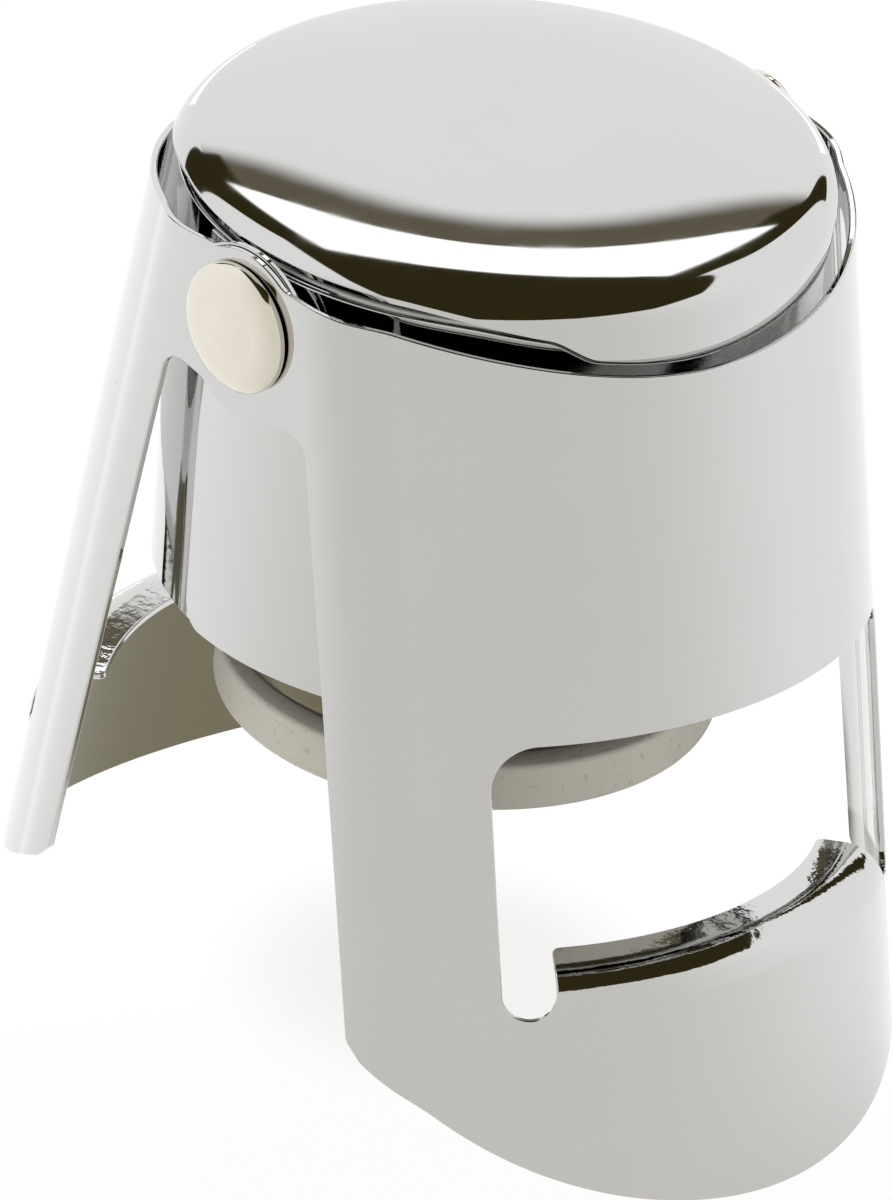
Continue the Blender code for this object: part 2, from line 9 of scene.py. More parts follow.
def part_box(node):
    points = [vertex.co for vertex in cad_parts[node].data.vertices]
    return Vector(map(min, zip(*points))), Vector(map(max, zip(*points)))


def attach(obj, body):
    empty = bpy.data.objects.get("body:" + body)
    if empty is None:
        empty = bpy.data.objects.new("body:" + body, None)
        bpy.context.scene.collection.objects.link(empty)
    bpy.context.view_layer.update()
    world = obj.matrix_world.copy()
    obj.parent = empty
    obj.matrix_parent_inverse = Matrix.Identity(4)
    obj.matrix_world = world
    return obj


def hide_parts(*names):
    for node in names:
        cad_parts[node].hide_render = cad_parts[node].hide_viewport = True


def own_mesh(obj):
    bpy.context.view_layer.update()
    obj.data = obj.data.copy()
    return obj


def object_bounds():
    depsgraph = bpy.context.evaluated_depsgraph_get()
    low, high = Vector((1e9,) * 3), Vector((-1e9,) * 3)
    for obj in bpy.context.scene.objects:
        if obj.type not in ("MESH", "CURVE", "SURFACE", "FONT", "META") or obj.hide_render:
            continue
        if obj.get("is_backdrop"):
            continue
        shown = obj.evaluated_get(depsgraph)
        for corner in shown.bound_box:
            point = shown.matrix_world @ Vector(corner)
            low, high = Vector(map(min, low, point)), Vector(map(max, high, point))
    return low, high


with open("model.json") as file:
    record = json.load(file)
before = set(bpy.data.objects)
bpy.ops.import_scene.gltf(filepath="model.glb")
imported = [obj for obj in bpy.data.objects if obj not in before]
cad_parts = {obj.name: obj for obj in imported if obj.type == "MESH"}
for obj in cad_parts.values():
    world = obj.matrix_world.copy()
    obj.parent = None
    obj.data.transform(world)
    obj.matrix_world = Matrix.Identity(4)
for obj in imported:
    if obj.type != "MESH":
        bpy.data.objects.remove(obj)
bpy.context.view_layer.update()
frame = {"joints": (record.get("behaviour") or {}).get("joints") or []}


# Inner cup: a cup drawn from plain bright steel, pressed up inside the cap and the sleeve.
# Its closed end holds the spring, and its lip is rolled in as a shelf for the guide ring.
HINGE_HEIGHT = frame["joints"][0]["pos_m"][2]
QUARTER = math.radians(90)
HALF = math.radians(180)
FULL = math.radians(360)
TURN_STEPS = 192
CUP_SHEET = 0.0005
CUP_LIP = 0.0018
CUP_CORNER = 0.0012
CUP_LIP_ROUND = 0.0009
CUT_ROUND = 0.00008
HOLE_RADIUS = 0.0022
HOLE_STEPS = 48


class Wire:
    """A socket of a node tree; an operator on it adds a Math node."""

    def __init__(self, graph, socket):
        self.graph = graph
        self.socket = socket

    def maths(self, operation, *others):
        return self.graph.node("ShaderNodeMath", {"operation": operation}, dict(enumerate([self, *others])))

    def __add__(self, other):
        return self.maths("ADD", other)

    def __radd__(self, other):
        return self.maths("ADD", other)

    def __sub__(self, other):
        return self.maths("SUBTRACT", other)

    def __rsub__(self, other):
        return self.maths("MULTIPLY_ADD", -1.0, other)

    def __mul__(self, other):
        return self.maths("MULTIPLY", other)

    def __rmul__(self, other):
        return self.maths("MULTIPLY", other)

    def __truediv__(self, other):
        return self.maths("DIVIDE", other)

    def __pow__(self, other):
        return self.maths("POWER", other)

    def eased(self, low, high, start=0.0, end=1.0):
        """start below low, end above high, and a smooth step between."""
        settings = {"interpolation_type": "SMOOTHSTEP"}
        return self.graph.node("ShaderNodeMapRange", settings, {0: self, 1: low, 2: high, 3: start, 4: end})


class Graph:
    """A node tree whose nodes are all added by one method."""

    def __init__(self, tree):
        self.tree = tree

    def node(self, kind, settings=None, sockets=None, output=0):
        """Adds a node, makes its settings, then sets or links its sockets, and gives one output."""
        node = self.tree.nodes.new(kind)
        for name, value in (settings or {}).items():
            setattr(node, name, value)
        for key, value in (sockets or {}).items():
            if isinstance(value, Wire):
                self.tree.links.new(value.socket, node.inputs[key])
            else:
                node.inputs[key].default_value = value
        return Wire(self, node.outputs[output]) if len(node.outputs) else node


def new_finish(name):
    """An empty material and the Wire of its Object coordinates."""
    material = bpy.data.materials.new(name + "_finish")
    material.use_nodes = True
    material.node_tree.nodes.clear()
    graph = Graph(material.node_tree)
    return material, graph, graph.node("ShaderNodeTexCoord", output="Object")


def noise(graph, place, size, detail=2.0):
    """Noise whose lumps are about that size."""
    return graph.node("ShaderNodeTexNoise", None, {"Vector": place, "Scale": 1 / size, "Detail": detail})


def distance(first, second):
    """The length of the line that reaches that far along two square directions."""
    return (first * first + second * second).maths("SQRT")


def mixed(graph, share, first, second):
    colours = {0: share, 6: first, 7: second}
    return graph.node("ShaderNodeMix", {"data_type": "RGBA"}, colours, output=2)


def surface(graph, sockets):
    shader = graph.node("ShaderNodeBsdfPrincipled", None, sockets)
    graph.node("ShaderNodeOutputMaterial", None, {"Surface": shader})


def add_steel():
    """Bright drawn steel: faint rings from turning and a soft, uneven shine."""
    material, graph, place = new_finish("plain_steel")
    parts = graph.node("ShaderNodeSeparateXYZ", None, {0: place})
    up = Wire(graph, parts.socket.node.outputs[2])
    across = graph.node("ShaderNodeVectorMath", {"operation": "MULTIPLY"}, {0: place, 1: (1.0, 1.0, 0.0)})
    out = graph.node("ShaderNodeVectorMath", {"operation": "LENGTH"}, {0: across}, output=1)
    rings = graph.node("ShaderNodeCombineXYZ", None, {0: out, 2: up})
    lines = noise(graph, rings, 0.00012, 3.0)
    cloud = noise(graph, place, 0.004, 3.0)
    bump = {"Strength": 0.25, "Distance": 0.00002, "Height": lines}
    surface(
        graph,
        {
            "Base Color": mixed(graph, cloud, (0.44, 0.44, 0.43, 1), (0.58, 0.575, 0.56, 1)),
            "Metallic": 1.0,
            "Roughness": 0.22 + 0.16 * lines,
            "Normal": graph.node("ShaderNodeBump", None, bump),
        },
    )
    return material


def rounded(corners, step=math.radians(15)):
    """The outline of (x, y, radius) corners, each corner turned into an arc of its radius."""
    points = []
    for i, (x, y, radius) in enumerate(corners):
        if radius == 0:
            points.append((x, y))
            continue
        here = Vector((x, y))
        before = (Vector(corners[i - 1][:2]) - here).normalized()
        after = (Vector(corners[(i + 1) % len(corners)][:2]) - here).normalized()
        half = before.angle(after) / 2
        centre = here + (before + after).normalized() * radius / math.sin(half)
        start = here + before * radius / math.tan(half) - centre
        turn = (HALF - 2 * half) * (1 if before.cross(after) < 0 else -1)
        steps = max(2, round(abs(turn) / step))
        for k in range(steps + 1):
            points.append(tuple(centre + Matrix.Rotation(turn * k / steps, 2) @ start))
    return points


def new_piece(name, mesh, material, body, *nodes):
    """A finished piece: smooth, with its material, riding on its body in the place of its nodes."""
    mesh.name = name
    mesh.materials.clear()
    mesh.materials.append(material)
    piece = bpy.data.objects.new(name, mesh)
    bpy.context.scene.collection.objects.link(piece)
    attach(piece, body)
    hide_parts(*nodes)
    return piece


def turned(profile, steps=TURN_STEPS, turn=None):
    """A closed profile of radius and height, counter-clockwise, turned about the upright axis."""
    shape = bmesh.new()
    rings = []
    for radius, height in profile:
        count = 1 if radius < CUT_ROUND / 2 else steps
        angles = [FULL * i / steps for i in range(count)]
        ring = [shape.verts.new((radius * math.cos(a), radius * math.sin(a), height)) for a in angles]
        rings.append(ring * (steps // count))
    for i, ring in enumerate(rings):
        following = rings[(i + 1) % len(rings)]
        for j in range(steps):
            k = (j + 1) % steps
            corners = dict.fromkeys((ring[j], ring[k], following[k], following[j]))
            if len(corners) > 2:
                shape.faces.new(list(corners))
    if turn:
        bmesh.ops.rotate(shape, verts=shape.verts, matrix=turn)
    bmesh.ops.translate(shape, verts=shape.verts, vec=(0, 0, HINGE_HEIGHT))
    bmesh.ops.recalc_face_normals(shape, faces=shape.faces)
    mesh = bpy.data.meshes.new("turned")
    shape.to_mesh(mesh)
    shape.free()
    mesh.shade_smooth()
    mesh.set_sharp_from_angle(angle=math.radians(40))
    return mesh


def drilled(mesh):
    """The mesh with one hole cut along the hinge axis through both its walls."""
    reach = 2 * max(abs(vert.co.y) for vert in mesh.vertices)
    bar = turned([(0, -reach), (HOLE_RADIUS, -reach), (HOLE_RADIUS, reach), (0, reach)], HOLE_STEPS,
                 Matrix.Rotation(QUARTER, 3, "X"))
    cutter = bpy.data.objects.new("cutter", bar)
    work = bpy.data.objects.new("work", mesh)
    for thing in (cutter, work):
        bpy.context.scene.collection.objects.link(thing)
    cut = work.modifiers.new("hole", "BOOLEAN")
    cut.object = cutter
    cut.solver = "EXACT"
    done = evaluated(work)
    bpy.data.objects.remove(cutter)
    return done


def evaluated(work):
    """The work object's mesh with its modifiers made real; the object is removed."""
    graph = bpy.context.evaluated_depsgraph_get()
    mesh = bpy.data.meshes.new_from_object(work.evaluated_get(graph))
    bpy.data.objects.remove(work)
    return mesh


def above_hinge(node):
    """A node's lowest and highest level, measured from the hinge axis."""
    low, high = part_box(node)
    return low.z - HINGE_HEIGHT, high.z - HINGE_HEIGHT


steel = add_steel()
cup_low, cup_high = above_hinge("inner_cup")
cup_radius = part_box("inner_cup")[1].y
cup_bore = cup_radius - CUP_SHEET
cup_profile = [
    (0, cup_high - CUP_SHEET, 0),
    (cup_bore, cup_high - CUP_SHEET, CUP_CORNER - CUP_SHEET),
    (cup_bore, cup_low + CUP_SHEET, CUP_LIP_ROUND - CUP_SHEET),
    (cup_radius - CUP_LIP, cup_low + CUP_SHEET, CUT_ROUND),
    (cup_radius - CUP_LIP, cup_low, CUT_ROUND),
    (cup_radius, cup_low, CUP_LIP_ROUND),
    (cup_radius, cup_high, CUP_CORNER),
    (0, cup_high, 0),
]
new_piece("inner_cup_shell", drilled(turned(rounded(cup_profile))), steel, "body", "inner_cup")


# Guide ring: a flat ring stamped from steel that lies on the cup's lip and keeps the plunger
# upright in its bore.
ring_low, ring_high = above_hinge("guide_ring")
ring_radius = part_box("guide_ring")[1].y
PLUNGER_RADIUS = 0.0144
RING_FIT = 0.00025
ring_bore = PLUNGER_RADIUS + RING_FIT
ring_profile = [
    (ring_bore, ring_low, CUT_ROUND),
    (ring_radius, ring_low, CUT_ROUND),
    (ring_radius, ring_high, CUT_ROUND),
    (ring_bore, ring_high, CUT_ROUND),
]
new_piece("guide_ring_plate", turned(rounded(ring_profile)), steel, "body", "guide_ring")


# Plunger: a flanged cup of chromed sheet that slides up and down in the guide ring. The seal's
# stud snaps through the hole in its floor.
PLUNGER_SHEET = 0.0005
PLUNGER_CORNER = 0.0011
STUD_RADIUS = 0.0028
STUD_CLEARANCE = 0.0002
WING_OPEN = math.radians(9.7)
LIP_BAND = (-0.0404, -0.0396, -0.0385, -0.0375)
CRINKLE = 4.0
# Painted shade: a dark olive tint on the plunger's wall and on the inner faces of the wings' skirts, where
# they lie in shadow under the body.
SHADED_SKIRT_LEVEL = (-0.0418, -0.0412)
SHADED_SKIRT_INSIDE = (0.0203, 0.0206)
PAINTED_SHADE_COLOUR = (0.16, 0.145, 0.095, 1)
PAINTED_SHADE_RADIUS = (0.0147, 0.0149)
PAINTED_SHADE_LEVEL = (-0.0205, -0.0200)
SMEAR_SIZE = 0.006
WAVE_SIZE = 0.0035
GRAIN_SIZE = 0.0006
CRINKLE_SIZE = 0.0008
PIT_SPACING = 0.0042
PIT_RADII = (0.010, 0.024)
PIT_CHANCE = 0.20
PIT_COLOUR = (0.05, 0.045, 0.035, 1)
CHROME_COLOUR = (0.59, 0.592, 0.590, 1)
SMEARED_COLOUR = (0.62, 0.617, 0.605, 1)
WAVE_DEPTH = 0.0000045


def add_chrome():
    """Mirror chrome: waves, smears, pits, crinkled lips, and painted shade on the plunger and inside the
    skirts, which are also rougher.
    """
    material, graph, place = new_finish("chrome")
    parts = graph.node("ShaderNodeSeparateXYZ", None, {0: place}).socket.node
    aside, ahead, up = (Wire(graph, output) for output in parts.outputs)
    aside, above = aside.maths("ABSOLUTE"), up - HINGE_HEIGHT
    # The level and the radius on an open wing, which leans out from the hinge.
    level = above * math.cos(WING_OPEN) - aside * math.sin(WING_OPEN)
    radius = distance(aside * math.cos(WING_OPEN) + above * math.sin(WING_OPEN), ahead)
    low, full, until, end = LIP_BAND
    crease = level.eased(low, full) * level.eased(until, end, 1.0, 0.0)
    # Painted shade: masks of the plunger's wall below the guide ring and of the skirts' inner faces; both
    # get the dark tint and a little more roughness.
    plunger = distance(aside, ahead).eased(*PAINTED_SHADE_RADIUS, 1.0, 0.0) * above.eased(*PAINTED_SHADE_LEVEL, 1.0, 0.0)
    shaded_skirts = radius.eased(*SHADED_SKIRT_INSIDE, 1.0, 0.0) * level.eased(*SHADED_SKIRT_LEVEL, 1.0, 0.0)
    painted_shade = plunger.maths("MAXIMUM", shaded_skirts)
    smears = noise(graph, place, SMEAR_SIZE, 4.0)
    grain = noise(graph, place, GRAIN_SIZE, 2.0)
    waves = noise(graph, place, WAVE_SIZE, 1.0)
    crinkles = noise(graph, place, CRINKLE_SIZE, 3.0)
    cells = {"Vector": place, "Scale": 1 / PIT_SPACING}
    near = graph.node("ShaderNodeTexVoronoi", None, cells)
    lot = graph.node("ShaderNodeTexVoronoi", None, cells, output=1)
    chance = graph.node("ShaderNodeSeparateColor", None, {0: lot})
    pits = near.eased(*PIT_RADII, 1.0, 0.0) * chance.maths("GREATER_THAN", 1 - PIT_CHANCE)
    # Base colour: the smears, with the painted shade mixed in.
    unpitted_with_shade = mixed(graph, painted_shade, mixed(graph, smears, CHROME_COLOUR, SMEARED_COLOUR), PAINTED_SHADE_COLOUR)
    height = waves * 0.6 + grain * 0.004 + smears * 0.02 + crease * crinkles * CRINKLE
    bump = {"Strength": 1.0, "Distance": WAVE_DEPTH, "Height": height}
    surface(
        graph,
        {
            "Base Color": mixed(graph, pits * 0.85, unpitted_with_shade, PIT_COLOUR),
            "Metallic": 1.0,
            "Roughness": 0.035 + smears.eased(0.45, 0.75, 0.0, 0.05) + pits * 0.3 + painted_shade * 0.15,
            "Normal": graph.node("ShaderNodeBump", None, bump),
        },
    )
    return material


chrome = add_chrome()
floor_low, flange_high = above_hinge("plunger")
flange_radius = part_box("plunger")[1].y
stud_hole = STUD_RADIUS + STUD_CLEARANCE
plunger_bore = PLUNGER_RADIUS - PLUNGER_SHEET
bend = PLUNGER_CORNER - PLUNGER_SHEET
plunger_profile = [
    (stud_hole, floor_low, CUT_ROUND),
    (PLUNGER_RADIUS, floor_low, PLUNGER_CORNER),
    (PLUNGER_RADIUS, flange_high - PLUNGER_SHEET, bend),
    (flange_radius, flange_high - PLUNGER_SHEET, CUT_ROUND),
    (flange_radius, flange_high, CUT_ROUND),
    (plunger_bore, flange_high, PLUNGER_CORNER),
    (plunger_bore, floor_low + PLUNGER_SHEET, bend),
    (stud_hole, floor_low + PLUNGER_SHEET, CUT_ROUND),
]
new_piece("plunger_cup", turned(rounded(plunger_profile)), chrome, "plunger", "plunger")


# Seal: a disc of beige rubber that the plunger presses on the bottle's mouth, moulded in one
# with the stud that holds it. A fine flash line runs round its edge.
SEAL_THICKNESS = 0.0030
SEAL_ROUND = 0.00035
FLASH_HEIGHT = 0.00045
FLASH_REACH = 0.00003
STUD_HEAD_RADIUS = 0.0042
STUD_HEAD_EDGE = 0.0004
STUD_TIP_RADIUS = 0.0022


def add_rubber():
    """Matt moulded rubber: a fine grain, dust in the pores and a warmer cloud here and there."""
    material, graph, place = new_finish("beige_rubber")
    cloud = noise(graph, place, 0.005, 3.0)
    grain = noise(graph, place, 0.00022, 3.0)
    pores = noise(graph, place, 0.0005, 1.0).eased(0.66, 0.74)
    body = mixed(graph, cloud, (0.66, 0.625, 0.545, 1), (0.74, 0.705, 0.63, 1))
    bump = {"Strength": 0.6, "Distance": 0.00005, "Height": grain + pores * -0.6}
    surface(
        graph,
        {
            "Base Color": mixed(graph, pores * 0.35, body, (0.40, 0.36, 0.28, 1)),
            "Roughness": 0.48 + 0.2 * grain,
            "Normal": graph.node("ShaderNodeBump", None, bump),
        },
    )
    return material


rubber = add_rubber()
seal_low, stud_high = above_hinge("seal")
seal_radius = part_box("seal")[1].y
seal_high = seal_low + SEAL_THICKNESS
head_low = floor_low + PLUNGER_SHEET + STUD_CLEARANCE
seal_profile = [
    (0, seal_low, 0),
    (seal_radius, seal_low, SEAL_ROUND),
    (seal_radius, seal_low + FLASH_HEIGHT - FLASH_REACH, 0),
    (seal_radius + FLASH_REACH, seal_low + FLASH_HEIGHT, 0),
    (seal_radius, seal_low + FLASH_HEIGHT + FLASH_REACH, 0),
    (seal_radius, seal_high, SEAL_ROUND),
    (STUD_RADIUS, seal_high, CUT_ROUND),
    (STUD_RADIUS, head_low, CUT_ROUND),
    (STUD_HEAD_RADIUS, head_low, CUT_ROUND),
    (STUD_HEAD_RADIUS, head_low + STUD_HEAD_EDGE, CUT_ROUND),
    (STUD_TIP_RADIUS, stud_high, CUT_ROUND),
    (0, stud_high, 0),
]
new_piece("seal_disc", turned(rounded(seal_profile)), rubber, "plunger", "seal")


# Plunger spring: round steel wire wound in eight turns, the end turns closed. It stands on the
# plunger's floor inside the cup and pushes the seal down.
SPRING_WIRE = 0.0011
SPRING_TURNS = 8
CLOSED_PITCH = 0.0018
SPRING_POINTS_A_TURN = 48
SPRING_SIDES = 16


def new_tree(name, sizes):
    """A Geometry Nodes tree with named sizes: its Graph and a function that gives a size's Wire."""
    tree = bpy.data.node_groups.new(name, "GeometryNodeTree")
    tree.interface.new_socket("Mesh", in_out="OUTPUT", socket_type="NodeSocketGeometry")
    for size in sizes:
        tree.interface.new_socket(size, in_out="INPUT", socket_type="NodeSocketFloat")
    graph = Graph(tree)
    entry = tree.nodes.new("NodeGroupInput")
    return graph, lambda size: Wire(graph, entry.outputs[size])


def grown(graph, shape, material, sizes, modifiers=()):
    """Ends the tree, runs it with those sizes, and gives the plain mesh that it makes."""
    real = graph.node("GeometryNodeRealizeInstances", None, {0: shape})
    painted = graph.node("GeometryNodeSetMaterial", None, {0: real, "Material": material})
    exit_node = graph.tree.nodes.new("NodeGroupOutput")
    graph.tree.links.new(painted.socket, exit_node.inputs[0])
    work = bpy.data.objects.new("work", bpy.data.meshes.new("work"))
    bpy.context.scene.collection.objects.link(work)
    tree_modifier = work.modifiers.new("shape", "NODES")
    tree_modifier.node_group = graph.tree
    for item in graph.tree.interface.items_tree:
        if item.in_out == "INPUT":
            tree_modifier[item.identifier] = float(sizes[item.name])
    for kind, settings in modifiers:
        modifier = work.modifiers.new(kind.lower(), kind)
        for name, value in settings.items():
            setattr(modifier, name, value)
    mesh = evaluated(work)
    mesh.transform(Matrix.Translation((0, 0, HINGE_HEIGHT)))
    return mesh


def spring_mesh(sizes):
    """A line drawn out into a helix by its length, and swept with the round wire."""
    graph, size = new_tree("wound_spring", sizes)
    line = graph.node("GeometryNodeCurvePrimitiveLine", None, {"Start": (0, 0, 0), "End": (0, 0, 1)})
    count = round(SPRING_TURNS * SPRING_POINTS_A_TURN)
    points = graph.node("GeometryNodeResampleCurve", None, {0: line, "Count": count + 1})
    turns = graph.node("GeometryNodeSplineParameter") * size("Turns")
    low_closed = turns.maths("MINIMUM", 1.0)
    high_closed = (turns - (size("Turns") - 1.0)).maths("MAXIMUM", 0.0)
    pitch = (size("High") - size("Low") - 2.0 * size("Closed Pitch")) / (size("Turns") - 2.0)
    height = size("Low") + size("Closed Pitch") * (low_closed + high_closed)
    height = height + pitch * (turns - low_closed - high_closed)
    angle = turns * FULL
    place = {0: angle.maths("COSINE") * size("Radius"), 1: angle.maths("SINE") * size("Radius"), 2: height}
    position = graph.node("ShaderNodeCombineXYZ", None, place)
    put = graph.node("GeometryNodeSetPosition", None, {0: points, "Position": position})
    wire = {"Resolution": SPRING_SIDES, "Radius": size("Wire") / 2.0}
    section = graph.node("GeometryNodeCurvePrimitiveCircle", None, wire)
    swept = graph.node("GeometryNodeCurveToMesh", None, {0: put, 1: section, "Fill Caps": True})
    smooth_faces = graph.node("GeometryNodeSetShadeSmooth", None, {0: swept})
    return grown(graph, smooth_faces, steel, sizes)


spring_low, spring_high = above_hinge("plunger_spring")
spring_sizes = {
    "Wire": SPRING_WIRE,
    "Radius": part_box("plunger_spring")[1].y - SPRING_WIRE / 2,
    "Low": spring_low + SPRING_WIRE / 2,
    "High": spring_high - SPRING_WIRE / 2,
    "Turns": SPRING_TURNS,
    "Closed Pitch": CLOSED_PITCH,
}
slide = next(joint for joint in frame["joints"] if joint["type"] == "slide")
spring_length = spring_high - spring_low
spring = new_piece("plunger_spring_wire", spring_mesh(spring_sizes), steel, "body", "plunger_spring")
1 - slide["range_m"][1] / spring_length
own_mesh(spring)


# Body sleeve: a strip of thin chromed sheet rolled round the cup, its outer end stepped out to
# lap over its inner end beside the front rivet. Its top edge follows the cap's trimmed edge.
BODY_RADIUS = 0.0190
BODY_SHEET = 0.0003
BODY_DROP = 0.0225
LAP_GAP = 0.00005
LAP_CORNER = 0.0016
SLEEVE_UNDER_CAP = 0.0005
LAP_END = math.radians(-14)
LAP_START = math.radians(15)
JOGGLE_FROM = math.radians(45)
JOGGLE_TO = math.radians(26)
CAP_EDGE_HINGE = 0.0042
CAP_EDGE_SIDE = 0.0009
CAP_STEP = 0.0009
DROP_FROM = math.radians(28)
STEP_FROM = math.radians(55)
STEP_TO = math.radians(64)
SOFT_EDGE = {"width": CUT_ROUND, "segments": 3, "limit_method": "ANGLE", "angle_limit": math.radians(50),
             "harden_normals": True}


def cap_edge(angle, hinge_edge, side_edge, step):
    """Level of the cap's trimmed edge: high over the hinges, lower at the sides."""
    from_hinge = angle.maths("COSINE").maths("ABSOLUTE").maths("MINIMUM", 1.0).maths("ARCCOSINE")
    gentle = (hinge_edge - side_edge - step) * from_hinge.eased(DROP_FROM, QUARTER)
    return hinge_edge - gentle - step * from_hinge.eased(STEP_FROM, STEP_TO)


def grid(graph, across, up):
    """A flat grid and the Wires of its two directions, each from 0 to 1."""
    sockets = {"Size X": 1.0, "Size Y": 1.0, "Vertices X": across + 1, "Vertices Y": up + 1}
    mesh = graph.node("GeometryNodeMeshGrid", None, sockets)
    position = graph.node("GeometryNodeInputPosition")
    split = graph.node("ShaderNodeSeparateXYZ", None, {0: position}).socket.node
    return mesh, Wire(graph, split.outputs[0]) + 0.5, Wire(graph, split.outputs[1]) + 0.5


def rolled(graph, mesh, angle, radius, height):
    """The grid put at that angle from the front, radius and height."""
    place = {0: radius * angle.maths("SINE"), 1: radius * angle.maths("COSINE") * -1.0, 2: height}
    position = graph.node("ShaderNodeCombineXYZ", None, place)
    put = graph.node("GeometryNodeSetPosition", None, {0: mesh, "Position": position})
    merged = graph.node("GeometryNodeMergeByDistance", None, {0: put, "Distance": 1e-6})
    outside = graph.node("GeometryNodeFlipFaces", None, {0: merged})
    return graph.node("GeometryNodeSetShadeSmooth", None, {0: outside})


def sleeve_mesh(sizes):
    graph, size = new_tree("rolled_sleeve", sizes)
    mesh, along, up = grid(graph, 360, 24)
    angle = size("Lap Start") - along * (size("Lap Start") - size("Lap End") + FULL)
    joggle = (angle * -1.0 - FULL).eased(-JOGGLE_FROM, -JOGGLE_TO)
    radius = size("Radius") - size("Sheet") / 2.0 + (size("Sheet") + size("Lap Gap")) * joggle
    from_end = (1.0 - along) * (size("Lap Start") - size("Lap End") + FULL) * size("Radius")
    inside_corner = (size("Lap Corner") - from_end).maths("MAXIMUM", 0.0)
    lift = size("Lap Corner") - (size("Lap Corner") ** 2.0 - inside_corner**2.0).maths("SQRT")
    bottom = lift - size("Drop")
    top = cap_edge(angle, size("Hinge Edge"), size("Side Edge"), size("Step")) - size("Under Cap")
    shape = rolled(graph, mesh, angle, radius, bottom + up * (top - bottom))
    wall = {"thickness": BODY_SHEET, "offset": 0, "use_even_offset": True}
    return grown(graph, shape, chrome, sizes, [("SOLIDIFY", wall), ("BEVEL", SOFT_EDGE)])


sleeve_sizes = {
    "Radius": BODY_RADIUS,
    "Sheet": BODY_SHEET,
    "Drop": BODY_DROP,
    "Lap Gap": LAP_GAP,
    "Lap Corner": LAP_CORNER,
    "Lap Start": LAP_START,
    "Lap End": LAP_END,
    "Hinge Edge": CAP_EDGE_HINGE,
    "Side Edge": CAP_EDGE_SIDE,
    "Step": CAP_STEP,
    "Under Cap": SLEEVE_UNDER_CAP,
}
new_piece("body_sleeve_strip", drilled(sleeve_mesh(sleeve_sizes)), chrome, "body", "body_sleeve")


# Dome cap: pressed from thicker chromed sheet, almost flat on top with a round shoulder. It is
# trimmed high over the two hinges, so that the wings' ears clear it, and lower at the sides.
CAP_SHEET = 0.00065
CAP_DOME = 0.00115
CAP_ROUND = 0.0024
CAP_ROUND_RISE = 0.0028
CAP_SKIRT = 0.0003
TOP_SHARE = 0.62
SKIRT_SHARE = 0.93


def cap_mesh(sizes):
    """A grid turned about the axis: a fourth-power dome, the shoulder's arc and the short skirt."""
    graph, size = new_tree("pressed_cap", sizes)
    mesh, round_share, down = grid(graph, 360, 96)
    angle = round_share * FULL
    round_radius, round_rise = size("Round"), size("Round Rise")
    flat_radius = size("Radius") - round_radius
    start = (size("Dome") * 4.0 / flat_radius).maths("ARCTANGENT").maths("MULTIPLY_ADD", -1.0, QUARTER)
    join_radius = flat_radius + round_radius * start.maths("COSINE")
    top = (down / TOP_SHARE).maths("MINIMUM", 1.0)
    arc = ((down - TOP_SHARE) / (SKIRT_SHARE - TOP_SHARE)).maths("MAXIMUM", 0.0).maths("MINIMUM", 1.0)
    skirt = ((down - SKIRT_SHARE) / (1 - SKIRT_SHARE)).maths("MAXIMUM", 0.0)
    edge = cap_edge(angle, size("Hinge Edge"), size("Side Edge"), size("Step"))
    last = ((edge + size("Skirt") - round_rise) / round_radius).maths("MAXIMUM", 0.0).maths("ARCSINE")
    turn = start + (last - start) * arc
    radius = join_radius * top + flat_radius + round_radius * turn.maths("COSINE") - join_radius
    height = round_rise + round_radius * turn.maths("SINE") + size("Dome") * (1.0 - top**4.0)
    skirt_length = round_rise + round_radius * last.maths("SINE") - edge
    shape = rolled(graph, mesh, angle, radius, height - skirt * skirt_length)
    wall = {"thickness": CAP_SHEET, "offset": -1, "use_even_offset": True}
    edge_round = {**SOFT_EDGE, "width": 2 * CUT_ROUND}
    return grown(graph, shape, chrome, sizes, [("SOLIDIFY", wall), ("BEVEL", edge_round)])


cap_sizes = {
    "Radius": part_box("dome_cap")[1].x,
    "Dome": CAP_DOME,
    "Round": CAP_ROUND,
    "Round Rise": CAP_ROUND_RISE,
    "Skirt": CAP_SKIRT,
    "Hinge Edge": CAP_EDGE_HINGE,
    "Side Edge": CAP_EDGE_SIDE,
    "Step": CAP_STEP,
}
new_piece("dome_cap_shell", cap_mesh(cap_sizes), chrome, "body", "dome_cap")


# Wings: a handed pair, each stamped from one sheet and chromed. Each has an ear at both ends of
# the hinge, two legs round a window, a hook lip turned in at its lower edge and a slanting skirt.
WING_RADIUS = 0.0207
WING_SHEET = 0.00045
EAR_RADIUS = 0.00525
EAR_DROP = 0.0005
EAR_FILLET = 0.0020
EAR_CURVE = 0.150
EAR_CLEARANCE = 0.00015
EAR_ANGLE = math.radians(14)
EAR_BLEND = math.radians(16)
FRONT_RISE = 0.0041
REAR_RISE = 0.0035
RIM_SLOPE = 0.26
RIM_DROP = 0.0029
OVER_LEG_EDGE = 0.0049
UNDER_LEG_EDGE = 0.0057
LEG_TAPER = 0.0007
LEG_DROP = 0.0440
LEG_FILLET = 0.0014
LEG_CORNER = 0.0008
SKIRT_DROP = 0.0549
SKIRT_BULGE = 0.0006
WINDOW_FROM = math.radians(42)
WINDOW_DROP = 0.0244
WINDOW_CORNER = 0.0029
NOTCH_TO = math.radians(51)
NOTCH_DROP = 0.0416
LIP_DROP = 0.0414
LIP_BEND = math.radians(82)
LIP_BEND_RADIUS = 0.0023
LIP_INNER_RADIUS = 0.0168
LIP_CORNER = 0.0005
LIP_STEPS = 10
WING_MID = WING_RADIUS - WING_SHEET / 2
SCORE = math.radians(1.5)
EAR_SCORES = 12
